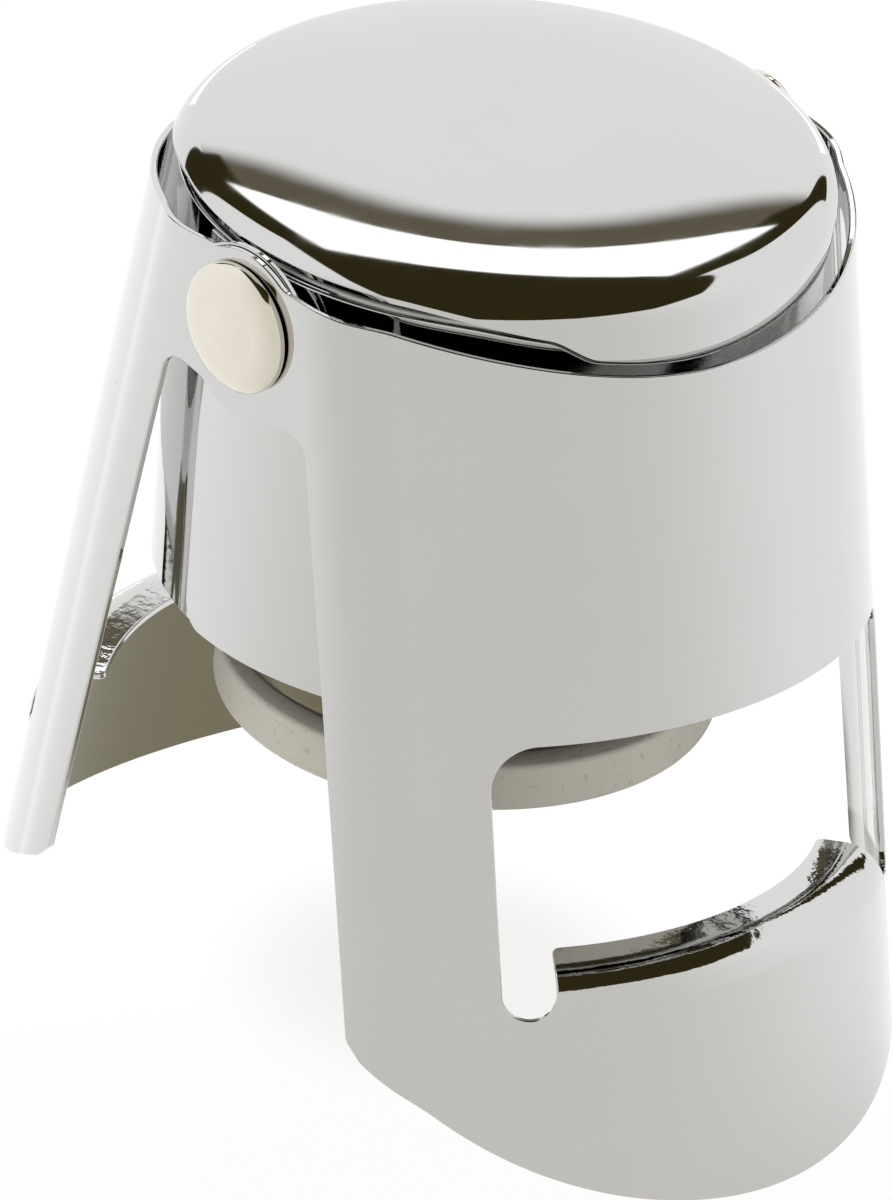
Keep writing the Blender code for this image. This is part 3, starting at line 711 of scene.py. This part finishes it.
ARC_STEPS = 18
EDGE_ROUND = 0.00012
EDGE_TURNS = (30, 60, 90)
WELD = 1e-7
NUDGE = 0.00002
lap_mid = BODY_RADIUS + BODY_SHEET / 2 + LAP_GAP
INNER_EAR = lap_mid + BODY_SHEET / 2 + EAR_CLEARANCE + WING_SHEET / 2
OUTER_EAR = INNER_EAR + WING_SHEET + EAR_CLEARANCE


def smooth(share):
    share = min(max(share, 0.0), 1.0)
    return share * share * (3 - 2 * share)


def arc(centre, radius, start, end, steps=ARC_STEPS):
    """Points round a flat arc, both ends included."""
    angles = [start + (end - start) * i / steps for i in range(steps + 1)]
    return [(centre[0] + radius * math.cos(a), centre[1] + radius * math.sin(a)) for a in angles]


def wing_radius(angle, front, rear):
    """Radius of the sheet's middle: nearly flat over each ear, round between them."""
    radius = WING_MID
    for turn, ear in ((angle, front), (HALF - angle, rear)):
        if turn < EAR_ANGLE + EAR_BLEND:
            bow = 2 * ear * math.sin(turn) ** 2 / EAR_CURVE
            flat = 2 * ear / (math.cos(turn) + math.sqrt(math.cos(turn) ** 2 + bow))
            radius += (flat - WING_MID) * (1 - smooth((turn - EAR_ANGLE) / EAR_BLEND))
    return radius


def on_blank(side, height, ear, rear):
    """A point beside the hinge, given by its distance from the hinge plane, on the blank."""
    low, high = -EAR_ANGLE - EAR_BLEND, EAR_ANGLE + EAR_BLEND
    for _ in range(40):
        angle = (low + high) / 2
        if wing_radius(abs(angle), ear, ear) * math.sin(angle) < side:
            low = angle
        else:
            high = angle
    return ((HALF - angle if rear else angle) * WING_MID, height)


def ear_outline(leg_edge, ear, rear):
    """From the rim, round the ear and down the leg's edge, which leans away from the hinge plane."""
    rise = REAR_RISE if rear else FRONT_RISE
    slant = math.sqrt(1 + RIM_SLOPE**2)
    away = math.atan2(1, RIM_SLOPE)
    if rear:
        radius = (rise + EAR_DROP) / slant
        lobe = arc((0, -EAR_DROP), radius, away, FULL - QUARTER, 3 * ARC_STEPS)
    else:
        radius = EAR_RADIUS
        reach = rise + EAR_FILLET * slant + EAR_DROP
        beyond = slant**2 * (reach**2 - (radius + EAR_FILLET) ** 2)
        x = (RIM_SLOPE * reach + math.sqrt((RIM_SLOPE * reach) ** 2 - beyond)) / slant**2
        z = reach - RIM_SLOPE * x
        turn = math.atan2(z, x)
        lobe = arc((x, z - EAR_DROP), EAR_FILLET, HALF + away, HALF + turn, ARC_STEPS // 3)[:-1]
        lobe += arc((0, -EAR_DROP), radius, turn, FULL - QUARTER, 3 * ARC_STEPS)
    bottom = -EAR_DROP - radius
    fillet = arc((leg_edge - LEG_FILLET, bottom - LEG_FILLET), LEG_FILLET, QUARTER, 0)
    corner_centre = (leg_edge + LEG_TAPER + LEG_CORNER, -LEG_DROP + LEG_CORNER)
    corner = arc(corner_centre, LEG_CORNER, HALF, HALF + QUARTER / 2, ARC_STEPS // 2)
    return [on_blank(x, z, ear, rear) for x, z in lobe + fillet + corner]


def wing_outline(ears, leg_edges):
    front = ear_outline(leg_edges[0], ears[0], False)
    rear = ear_outline(leg_edges[1], ears[1], True)
    low, high = [], []
    for i in range(1, round(HALF / SCORE)):
        angle = i * SCORE
        side = math.sin(angle)
        leg_edge, rise = (leg_edges[0], FRONT_RISE) if angle < QUARTER else (leg_edges[1], REAR_RISE)
        if front[-1][0] + LEG_CORNER / 2 < angle * WING_MID < rear[-1][0] - LEG_CORNER / 2:
            foot = leg_edge + LEG_TAPER
            share = (WING_RADIUS * side - foot) / (WING_RADIUS - foot)
            slant = (SKIRT_DROP - LEG_DROP) * share + SKIRT_BULGE * math.sin(HALF * share)
            low.append((angle * WING_MID, -LEG_DROP - slant))
        if front[0][0] + LEG_CORNER / 2 < angle * WING_MID < rear[0][0] - LEG_CORNER / 2:
            dip = rise - RIM_SLOPE * WING_RADIUS + RIM_DROP
            high.append((angle * WING_MID, rise - RIM_SLOPE * WING_RADIUS * side - dip * side**4))
    return front + low + rear[::-1] + high[::-1]


def window_outline():
    """The window with a notch at each lower corner and the lip's tab between them."""
    flange = WING_MID - LIP_BEND_RADIUS * (1 - math.cos(LIP_BEND)) - LIP_INNER_RADIUS
    tab_top = -LIP_DROP + LIP_BEND_RADIUS * LIP_BEND + flange / math.sin(LIP_BEND)
    left = WINDOW_FROM * WING_MID
    notch = (NOTCH_TO - WINDOW_FROM) * WING_MID / 2
    half = arc((left + WINDOW_CORNER, -WINDOW_DROP - WINDOW_CORNER), WINDOW_CORNER, QUARTER, HALF)
    half += arc((left + notch, -NOTCH_DROP + notch), notch, HALF, FULL, 2 * ARC_STEPS)
    tip = (NOTCH_TO * WING_MID + LIP_CORNER, tab_top - LIP_CORNER)
    half += arc(tip, LIP_CORNER, HALF, QUARTER, ARC_STEPS // 2)
    whole = HALF * WING_MID
    return half + [(whole - x, z) for x, z in reversed(half)]


def inset(outline, distance):
    """A closed outline moved to its left by a distance, with its corners kept."""
    moved = []
    for i, here in enumerate(outline):
        there = Vector(here)
        first = (there - Vector(outline[i - 1])).normalized()
        second = (Vector(outline[(i + 1) % len(outline)]) - there).normalized()
        left = (Vector((-first.y, first.x)) + Vector((-second.y, second.x))).normalized()
        moved.append(tuple(there + left * distance / max(left.dot(Vector((-first.y, first.x))), 0.5)))
    return moved


def filled(outlines):
    """A flat mesh of the area inside the first outline and outside the others."""
    curve = bpy.data.curves.new("blank", "CURVE")
    curve.dimensions = "2D"
    curve.fill_mode = "BOTH"
    for outline in outlines:
        spline = curve.splines.new("POLY")
        spline.points.add(len(outline) - 1)
        for point, (x, y) in zip(spline.points, outline):
            point.co = (x, y, 0, 1)
        spline.use_cyclic_u = True
    guide = bpy.data.objects.new("blank", curve)
    bpy.context.scene.collection.objects.link(guide)
    return evaluated(guide)


def scored_blank(outlines, scores):
    """The filled outlines cut along straight lines, in strips without any other edge."""
    shape = bmesh.new()
    shape.from_mesh(filled(outlines))
    bmesh.ops.remove_doubles(shape, verts=shape.verts, dist=WELD)
    kept = set()
    for axis, places in enumerate(scores):
        for place in places:
            faces = [f for f in shape.faces if len({v.co[axis] > place for v in f.verts}) == 2]
            if axis == 1:
                first, last = NOTCH_TO * WING_MID, (HALF - NOTCH_TO) * WING_MID
                faces = [f for f in faces if first < f.calc_center_median().x < last]
            edges = {edge for face in faces for edge in face.edges}
            verts = {vert for edge in edges for vert in edge.verts}
            cut = {"plane_co": (0, place, 0), "plane_no": (0, 1, 0)}
            if axis == 0:
                cut = {"plane_co": (place, 0, 0), "plane_no": (1, 0, 0)}
            bmesh.ops.bisect_plane(shape, geom=[*verts, *edges, *faces], dist=WELD, **cut)
    for edge in shape.edges:
        for axis, places in enumerate(scores):
            first, second = (vert.co[axis] for vert in edge.verts)
            nearest = min(abs(place - first) for place in places)
            if abs(first - second) < WELD and nearest < 10 * WELD:
                kept.add(edge)
    spare = [edge for edge in shape.edges if not edge.is_boundary and edge not in kept]
    bmesh.ops.dissolve_edges(shape, edges=spare, use_verts=False)
    spare = [v for v in shape.verts if len(v.link_edges) == 2 and not v.is_boundary]
    bmesh.ops.dissolve_verts(shape, verts=spare)
    for face in shape.faces:
        if face.normal.z < 0:
            face.normal_flip()
    return shape


def sheet_metal(blank, form, mirrored):
    """Puts the blank's two faces where the form says and rolls a soft edge round all its cuts."""
    blank.verts.index_update()
    outward = {}
    for edge in blank.edges:
        if edge.is_boundary:
            loop = edge.link_loops[0]
            run = (loop.link_loop_next.vert.co - loop.vert.co).normalized()
            for vert in edge.verts:
                outward.setdefault(vert, []).append(Vector((run.y, -run.x)))
    points, normals = [], []

    def put(along, up, level, away=None, lean=0.0):
        """Adds the point that lies that far outside the sheet's middle, and its normal."""
        here = Vector(form(along, up))
        run = Vector(form(along + NUDGE, up)) - Vector(form(along - NUDGE, up))
        rise = Vector(form(along, up + NUDGE)) - Vector(form(along, up - NUDGE))
        normal = run.cross(rise).normalized() * (-1 if mirrored else 1)
        points.append(here + normal * level)
        facing = normal * (1 if level > 0 else -1)
        if away is not None:
            out = (run.normalized() * away.x + rise.normalized() * away.y).normalized()
            facing = facing * math.cos(lean) + out * math.sin(lean)
        normals.append(facing)
        return len(points) - 1

    half = WING_SHEET / 2
    outer = [put(v.co.x, v.co.y, half) for v in blank.verts]
    inner = [put(v.co.x, v.co.y, -half) for v in blank.verts]
    rims = {}
    for vert, sides in outward.items():
        away = (sides[0] + sides[1]).normalized()
        reach = EDGE_ROUND / max(away.dot(sides[0]), 0.5)
        rim = [outer[vert.index]]
        for front, turns in ((1, EDGE_TURNS), (-1, EDGE_TURNS[::-1])):
            for degrees in turns:
                lean = math.radians(degrees)
                step = away * reach * math.sin(lean)
                level = front * (half - EDGE_ROUND + EDGE_ROUND * math.cos(lean))
                rim.append(put(vert.co.x + step.x, vert.co.y + step.y, level, away, lean))
        rims[vert] = rim + [inner[vert.index]]
    faces = [[outer[v.index] for v in face.verts] for face in blank.faces]
    faces += [[inner[v.index] for v in reversed(face.verts)] for face in blank.faces]
    for edge in blank.edges:
        if edge.is_boundary:
            loop = edge.link_loops[0]
            first, second = rims[loop.vert], rims[loop.link_loop_next.vert]
            for k in range(len(first) - 1):
                faces.append([second[k], first[k], first[k + 1], second[k + 1]])
    if mirrored:
        faces = [face[::-1] for face in faces]
    mesh = bpy.data.meshes.new("sheet")
    mesh.from_pydata(points, [], faces)
    mesh.shade_smooth()
    mesh.normals_split_custom_set_from_vertices(normals)
    return mesh


def wing_mesh(side, front_over):
    ears = (OUTER_EAR, INNER_EAR) if front_over else (INNER_EAR, OUTER_EAR)
    leg_edges = (OVER_LEG_EDGE, UNDER_LEG_EDGE) if front_over else (UNDER_LEG_EDGE, OVER_LEG_EDGE)
    hang = Matrix.Translation((0, 0, HINGE_HEIGHT)) @ Matrix.Rotation(-side * WING_OPEN, 4, "Y")
    tab_slack = (NOTCH_TO - WINDOW_FROM) / 2

    def form(along, up):
        """Where a point of the blank lies once it is rolled and its lip is turned in."""
        angle = along / WING_MID
        radius = wing_radius(abs(angle), *ears) if angle < HALF else wing_radius(FULL - angle, *ears)
        height = up
        turned_up = up + LIP_DROP
        over_lip = NOTCH_TO - tab_slack < angle < HALF - NOTCH_TO + tab_slack
        if over_lip and 0 < turned_up < (LIP_DROP - WINDOW_DROP) / 2:
            bent = min(turned_up / LIP_BEND_RADIUS, LIP_BEND)
            beyond = turned_up - bent * LIP_BEND_RADIUS
            radius -= LIP_BEND_RADIUS * (1 - math.cos(bent)) + beyond * math.sin(bent)
            height = -LIP_DROP + LIP_BEND_RADIUS * math.sin(bent) + beyond * math.cos(bent)
        return hang @ Vector((side * radius * math.sin(angle), -radius * math.cos(angle), height))

    outlines = [inset(wing_outline(ears, leg_edges), EDGE_ROUND), inset(window_outline(), -EDGE_ROUND)]
    for ear, rear in zip(ears, (False, True)):
        hole = [on_blank(x, z, ear, rear) for x, z in arc((0, 0), HOLE_RADIUS, 0, FULL, HOLE_STEPS)[:-1]]
        outlines.append(inset(hole[::-1] if rear else hole, -EDGE_ROUND))
    reach = round(HALF / SCORE) + EAR_SCORES
    upright = [i * SCORE * WING_MID for i in range(-EAR_SCORES, reach + 1)]
    level = [-LIP_DROP + i * LIP_BEND_RADIUS * LIP_BEND / LIP_STEPS for i in range(LIP_STEPS + 1)]
    return sheet_metal(scored_blank(outlines, (upright, level)), form, side < 0)


new_piece("right_wing_sheet", wing_mesh(1, True), chrome, "right_wing", "right_wing")
new_piece("left_wing_sheet", wing_mesh(-1, False), chrome, "left_wing", "left_wing")


# Washers: a pair of small steel rings inside the cup, one under each rivet's inner end. The
# same ring is set at both ends of the hinge axis.
washer_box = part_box("front_washer")
WASHER_RADIUS = (washer_box[1].x - washer_box[0].x) / 2
WASHER_STEPS = 64


def washers_mesh(sizes):
    """A tube's section swept round a circle, and one copy turned to each end of the hinge."""
    graph, size = new_tree("backing_washers", sizes)
    middle = {"Resolution": WASHER_STEPS, "Radius": size("Middle")}
    circle = graph.node("GeometryNodeCurvePrimitiveCircle", None, middle)
    plate = {"Width": size("Ring Width"), "Height": size("Sheet")}
    flat = graph.node("GeometryNodeCurvePrimitiveQuadrilateral", None, plate)
    edge = {0: flat, "Count": 3, "Radius": size("Edge")}
    corners = graph.node("GeometryNodeFilletCurve", {"mode": "POLY"}, edge)
    ring = graph.node("GeometryNodeCurveToMesh", None, {0: circle, 1: corners})
    ends = {"Count": 2, "Start Location": (0, 0, 0), "Offset": (0, 1, 0)}
    line = graph.node("GeometryNodeMeshLine", None, ends)
    index = graph.node("GeometryNodeInputIndex")
    away = (index * 2.0 - 1.0) * size("Seat")
    spot = graph.node("ShaderNodeCombineXYZ", None, {1: away})
    spots = graph.node("GeometryNodeSetPosition", None, {0: line, "Position": spot})
    pair = {0: spots, "Instance": ring, "Rotation": (QUARTER, 0, 0)}
    placed = graph.node("GeometryNodeInstanceOnPoints", None, pair)
    return grown(graph, placed, steel, sizes)


washer_width = WASHER_RADIUS - HOLE_RADIUS
washer_sizes = {
    "Middle": HOLE_RADIUS + washer_width / 2,
    "Ring Width": washer_width,
    "Sheet": washer_box[1].y - washer_box[0].y,
    "Edge": CUT_ROUND,
    "Seat": -(washer_box[0].y + washer_box[1].y) / 2,
}
new_piece("rivet_washers", washers_mesh(washer_sizes), steel, "body", "front_washer", "rear_washer")


# Rivets: one at each end of the hinge, plated in warm satin nickel. The low domed head lies
# over both ears, and the shank goes through ears, sleeve and cup to its set end.
SHANK_RADIUS = 0.0020
TAIL_RADIUS = 0.0029
TAIL_HEIGHT = 0.0008
HEAD_EDGE = 0.0003
HEAD_HEIGHT = 0.0011
TAIL_CHAMFER = 0.0003
DOME_STEPS = 24
HEAD_CROWN = 0.00010
HEAD_RIM = 0.0019


def add_nickel():
    """Warm nickel plate, satin: fine turning rings, rubbed a little smoother in places."""
    material, graph, place = new_finish("warm_nickel")
    parts = graph.node("ShaderNodeSeparateXYZ", None, {0: place}).socket.node
    across, _, up = (Wire(graph, output) for output in parts.outputs)
    out = distance(across, up - HINGE_HEIGHT)
    lines = noise(graph, graph.node("ShaderNodeCombineXYZ", None, {0: out}), 0.00010, 2.0)
    cloud = noise(graph, place, 0.0016, 3.0)
    bump = {"Strength": 0.15, "Distance": 0.00001, "Height": lines}
    surface(
        graph,
        {
            "Base Color": mixed(graph, cloud, (0.70, 0.665, 0.57, 1), (0.75, 0.715, 0.63, 1)),
            "Metallic": 1.0,
            "Roughness": 0.05 + 0.06 * cloud,
            "Normal": graph.node("ShaderNodeBump", None, bump),
        },
    )
    return material


nickel = add_nickel()
for end, turn in (("front", 1), ("rear", -1)):
    low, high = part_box(end + "_rivet")
    head_radius = (high.x - low.x) / 2
    tail_low = min(abs(low.y), abs(high.y))
    head_high = max(abs(low.y), abs(high.y))
    head_low = head_high - HEAD_HEIGHT
    tail_high = tail_low + TAIL_HEIGHT
    rim = HEAD_HEIGHT - HEAD_EDGE - HEAD_CROWN
    outline = [
        (0, tail_low, 0),
        (TAIL_RADIUS - TAIL_CHAMFER, tail_low, CUT_ROUND),
        (TAIL_RADIUS, tail_low + TAIL_CHAMFER, CUT_ROUND),
        (TAIL_RADIUS, tail_high, CUT_ROUND),
        (SHANK_RADIUS, tail_high, 0),
        (SHANK_RADIUS, head_low, 0),
        (head_radius, head_low, CUT_ROUND),
        (head_radius, head_low + HEAD_EDGE, 0),
    ]
    profile = rounded(outline)
    for x, y in arc((0, 0), 1, 0, QUARTER, DOME_STEPS)[1:]:
        profile.append((head_radius - HEAD_RIM * (1 - x), head_low + HEAD_EDGE + rim * y))
    for i in range(1, DOME_STEPS + 1):
        share = 1 - i / DOME_STEPS
        profile.append(((head_radius - HEAD_RIM) * share, head_high - HEAD_CROWN * share**2))
    rivet = turned(profile, TURN_STEPS // 2, Matrix.Rotation(turn * QUARTER, 3, "X"))
    new_piece(end + "_rivet_body", rivet, nickel, "body", end + "_rivet")


# Studio: a plain pale floor and a soft overhead light, and the camera that sees the stopper from
# its front right, a little above, as the photograph does.
VIEW_AZIMUTH = math.radians(45)
VIEW_ELEVATION = math.radians(28.84)
VIEW_ROLL = math.radians(4.449)
VIEW_DISTANCE = 1.5
VIEW_BELOW_HINGE = -0.00545
IMAGE_WIDTH_PIXELS = 893
IMAGE_HEIGHT_PIXELS = 1200
FOCAL_PIXELS = 25851.6
TARGET_PIXEL = (506.894, 141.551)
SENSOR = 36
FLOOR_SIZE = 4
FLOOR_WHITENESS = 0.86
PAPER_CLOUD = 0.4
PAPER_DARKER = (0.80, 0.80, 0.80, 1)
PAPER_LIGHTER = (0.82, 0.82, 0.82, 1)
TOWARD = (math.sin(VIEW_AZIMUTH), -math.cos(VIEW_AZIMUTH), 0)
ASIDE = (math.cos(VIEW_AZIMUTH), math.sin(VIEW_AZIMUTH), 0)
# Places on the ceiling are shares of its height: to the camera's right, and away from it.
CEILING = [(-0.51, -0.02), (-0.54, -1.00), (-0.11, -1.00), (0.86, -0.34)]
CEILING += [(0.93, 0.06), (0.29, 0.84), (-0.33, 0.84)]
LEFT_ARM = [(-0.25, 0.81), (-0.43, 1.58), (-3.84, 3.99), (-1.96, 1.49)]
RIGHT_ARM = [(0.20, 0.74), (3.40, 4.60), (2.60, 5.00), (0.38, 1.40)]
CEILING_BLUR = 0.012
CEILING_COLOUR = (0.038, 0.031, 0.010, 1)
LOWEST_CEILING = 0.03
FLAG_NEAR = (0.72, 0.80)
FLAG_FAR = (1.30, 1.50)
BAND_FROM = (1.15, 1.17)
BAND_COLOUR = (0.16, 0.14, 0.095, 1)
FLAG_WIDTH = 0.09
FLAG_SPREAD = 0.265
BOX_NEAR = 0.85
BOX_FAR = 1.14
BOX_WIDTH = -0.114
BOX_SPREAD = 0.40
BOX_BLUR = 0.008
BOX_COLOUR = (1.9, 1.9, 1.88, 1)
WALL_BEHIND = (1.12, 1.12, 1.12, 1)
WALL_BEFORE = (0.86, 0.845, 0.815, 1)
FRONT_FADE = (-0.2, 1.0)
# Painted shadow: inside these radii the floor under the stopper glows a dark olive instead of pale.
PAINTED_SHADOW_FADE = (0.006, 0.016)
PAINTED_SHADOW_COLOUR = (0.23, 0.21, 0.135, 1)
LAMP_SIZE = 0.8
LAMP_POWER = 2.0
LAMP_HEIGHT = 0.7


def add_camera():
    """Aims the camera so that the target point falls on its pixel, without any lens shift."""
    sin_a, cos_a = math.sin(VIEW_AZIMUTH), math.cos(VIEW_AZIMUTH)
    sin_e, cos_e = math.sin(VIEW_ELEVATION), math.cos(VIEW_ELEVATION)
    right = Vector((cos_a, sin_a, 0))
    back = Vector((sin_a * cos_e, -cos_a * cos_e, sin_e))
    up = back.cross(right)
    tilted_right = right * math.cos(VIEW_ROLL) + up * math.sin(VIEW_ROLL)
    tilted_up = up * math.cos(VIEW_ROLL) - right * math.sin(VIEW_ROLL)
    target = Vector((0, 0, HINGE_HEIGHT - VIEW_BELOW_HINGE))
    aside = IMAGE_WIDTH_PIXELS / 2 - TARGET_PIXEL[0]
    down = IMAGE_HEIGHT_PIXELS / 2 - TARGET_PIXEL[1]
    ahead = (back * -FOCAL_PIXELS + tilted_right * aside - tilted_up * down).normalized()
    level = (tilted_up - ahead * tilted_up.dot(ahead)).normalized()
    sideways = ahead.cross(level)
    data = bpy.data.cameras.new("camera")
    data.lens = FOCAL_PIXELS / IMAGE_HEIGHT_PIXELS * SENSOR
    data.sensor_width = SENSOR
    data.clip_start = VIEW_DISTANCE / 10
    data.clip_end = VIEW_DISTANCE * 10
    camera = bpy.data.objects.new("camera", data)
    turn = Matrix((sideways, level, -ahead)).transposed().to_4x4()
    camera.matrix_world = Matrix.Translation(target + back * VIEW_DISTANCE) @ turn
    bpy.context.scene.collection.objects.link(camera)
    bpy.context.scene.camera = camera


def seen_directly(graph, glossy_too):
    """1 for what the camera sees itself and, if asked, for what metal and glass mirror."""
    kinds = [graph.node("ShaderNodeLightPath", output="Is Camera Ray")]
    if glossy_too:
        kinds.append(graph.node("ShaderNodeLightPath", output="Is Glossy Ray"))
        kinds.append(graph.node("ShaderNodeLightPath", output="Is Transmission Ray"))
    share = kinds[0]
    for kind in kinds[1:]:
        share = share.maths("MAXIMUM", kind)
    return share


def along(graph, place, direction):
    """How far a place or a direction reaches along another direction."""
    sockets = {0: place, 1: direction}
    return graph.node("ShaderNodeVectorMath", {"operation": "DOT_PRODUCT"}, sockets, output=1)


def wall_colour(graph, toward, aside):
    """The pale walls and floor in the metal: lighter behind the stopper, greyer before it."""
    facing = toward / (distance(toward, aside) + CUT_ROUND)
    return mixed(graph, facing.eased(*FRONT_FADE), WALL_BEHIND, WALL_BEFORE)


def add_floor():
    """Plain pale floor: almost white to the camera and in the metal, with a painted shadow under the
    stopper, which the metal mirrors and the camera sees faintly.
    """
    bpy.ops.mesh.primitive_plane_add(size=FLOOR_SIZE)
    floor = bpy.context.object
    floor.name = "floor"
    material, graph, place = new_finish("pale_floor")
    shade = mixed(graph, noise(graph, place, PAPER_CLOUD), PAPER_DARKER, PAPER_LIGHTER)
    paper = graph.node("ShaderNodeBsdfDiffuse", None, {"Color": shade})
    white = graph.node("ShaderNodeEmission", None, {"Color": (1, 1, 1, 1), "Strength": 1.0})
    toward, aside = along(graph, place, TOWARD), along(graph, place, ASIDE)
    out = distance(toward, aside)
    # Painted shadow: near the axis the floor's glow turns dark olive.
    shadowed_tone = mixed(graph, out.eased(*PAINTED_SHADOW_FADE), PAINTED_SHADOW_COLOUR, wall_colour(graph, toward, aside))
    pale = graph.node("ShaderNodeEmission", None, {"Color": shadowed_tone, "Strength": 1.0})
    in_metal = graph.node("ShaderNodeMixShader", None, {0: seen_directly(graph, True), 1: paper, 2: pale})
    share = seen_directly(graph, False) * FLOOR_WHITENESS
    both = graph.node("ShaderNodeMixShader", None, {0: share, 1: in_metal, 2: white})
    graph.node("ShaderNodeOutputMaterial", None, {"Surface": both})
    floor.data.materials.append(material)
    floor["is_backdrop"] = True


def inside(across, far, corners):
    """1 inside a convex outline on the ceiling, its corners given counter-clockwise on the plan."""
    mask = 1.0
    for first, second in zip(corners, corners[1:] + corners[:1]):
        run = (Vector(second) - Vector(first)).normalized()
        depth = far * run.x - across * run.y - run.cross(Vector(first))
        mask = depth.eased(-CEILING_BLUR, CEILING_BLUR) * mask
    return mask


def add_world():
    """Pale walls, a dark ceiling, its brown band and one white softbox; the camera sees plain white."""
    world = bpy.data.worlds.new("studio")
    world.use_nodes = True
    world.node_tree.nodes.clear()
    bpy.context.scene.world = world
    graph = Graph(world.node_tree)
    ray = graph.node("ShaderNodeTexCoord", output="Generated")
    toward, aside = along(graph, ray, TOWARD), along(graph, ray, ASIDE)
    up = along(graph, ray, (0, 0, 1)).maths("MAXIMUM", LOWEST_CEILING)
    across, far = aside / up, toward * -1.0 / up
    dark = inside(across, far, CEILING)
    for arm in (LEFT_ARM, RIGHT_ARM):
        dark = dark.maths("MAXIMUM", inside(across, far, arm))
    width = across.maths("ABSOLUTE")
    bowed = far - across * across
    flag = (far * FLAG_SPREAD + FLAG_WIDTH - width).eased(-CEILING_BLUR, CEILING_BLUR)
    flag = flag * far.eased(*FLAG_NEAR) * bowed.eased(*FLAG_FAR, 1.0, 0.0)
    box = (far * BOX_SPREAD + BOX_WIDTH - width).eased(-BOX_BLUR, BOX_BLUR)
    box = box * far.eased(BOX_NEAR, BOX_NEAR + BOX_BLUR) * bowed.eased(BOX_FAR, BOX_FAR + BOX_BLUR, 1.0, 0.0)
    pale = wall_colour(graph, toward, aside)
    band = mixed(graph, bowed.eased(*BAND_FROM), CEILING_COLOUR, BAND_COLOUR)
    shaded = mixed(graph, dark, mixed(graph, flag, pale, band), CEILING_COLOUR)
    room = graph.node("ShaderNodeBackground", None, {"Color": mixed(graph, box, shaded, BOX_COLOUR)})
    white = graph.node("ShaderNodeBackground", None, {"Color": (1, 1, 1, 1), "Strength": 1.0})
    both = graph.node("ShaderNodeMixShader", None, {0: seen_directly(graph, False), 1: room, 2: white})
    graph.node("ShaderNodeOutputWorld", None, {"Surface": both})


def add_lamp():
    """A large soft lamp overhead, which the metal doesn't mirror."""
    data = bpy.data.lights.new("overhead", "AREA")
    data.size = LAMP_SIZE
    data.energy = LAMP_POWER
    lamp = bpy.data.objects.new("overhead", data)
    lamp.location = (0, 0, LAMP_HEIGHT)
    lamp.visible_glossy = False
    bpy.context.scene.collection.objects.link(lamp)


bpy.context.scene.view_settings.view_transform = "Standard"
add_camera()
add_floor()
add_world()
add_lamp()

low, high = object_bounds()
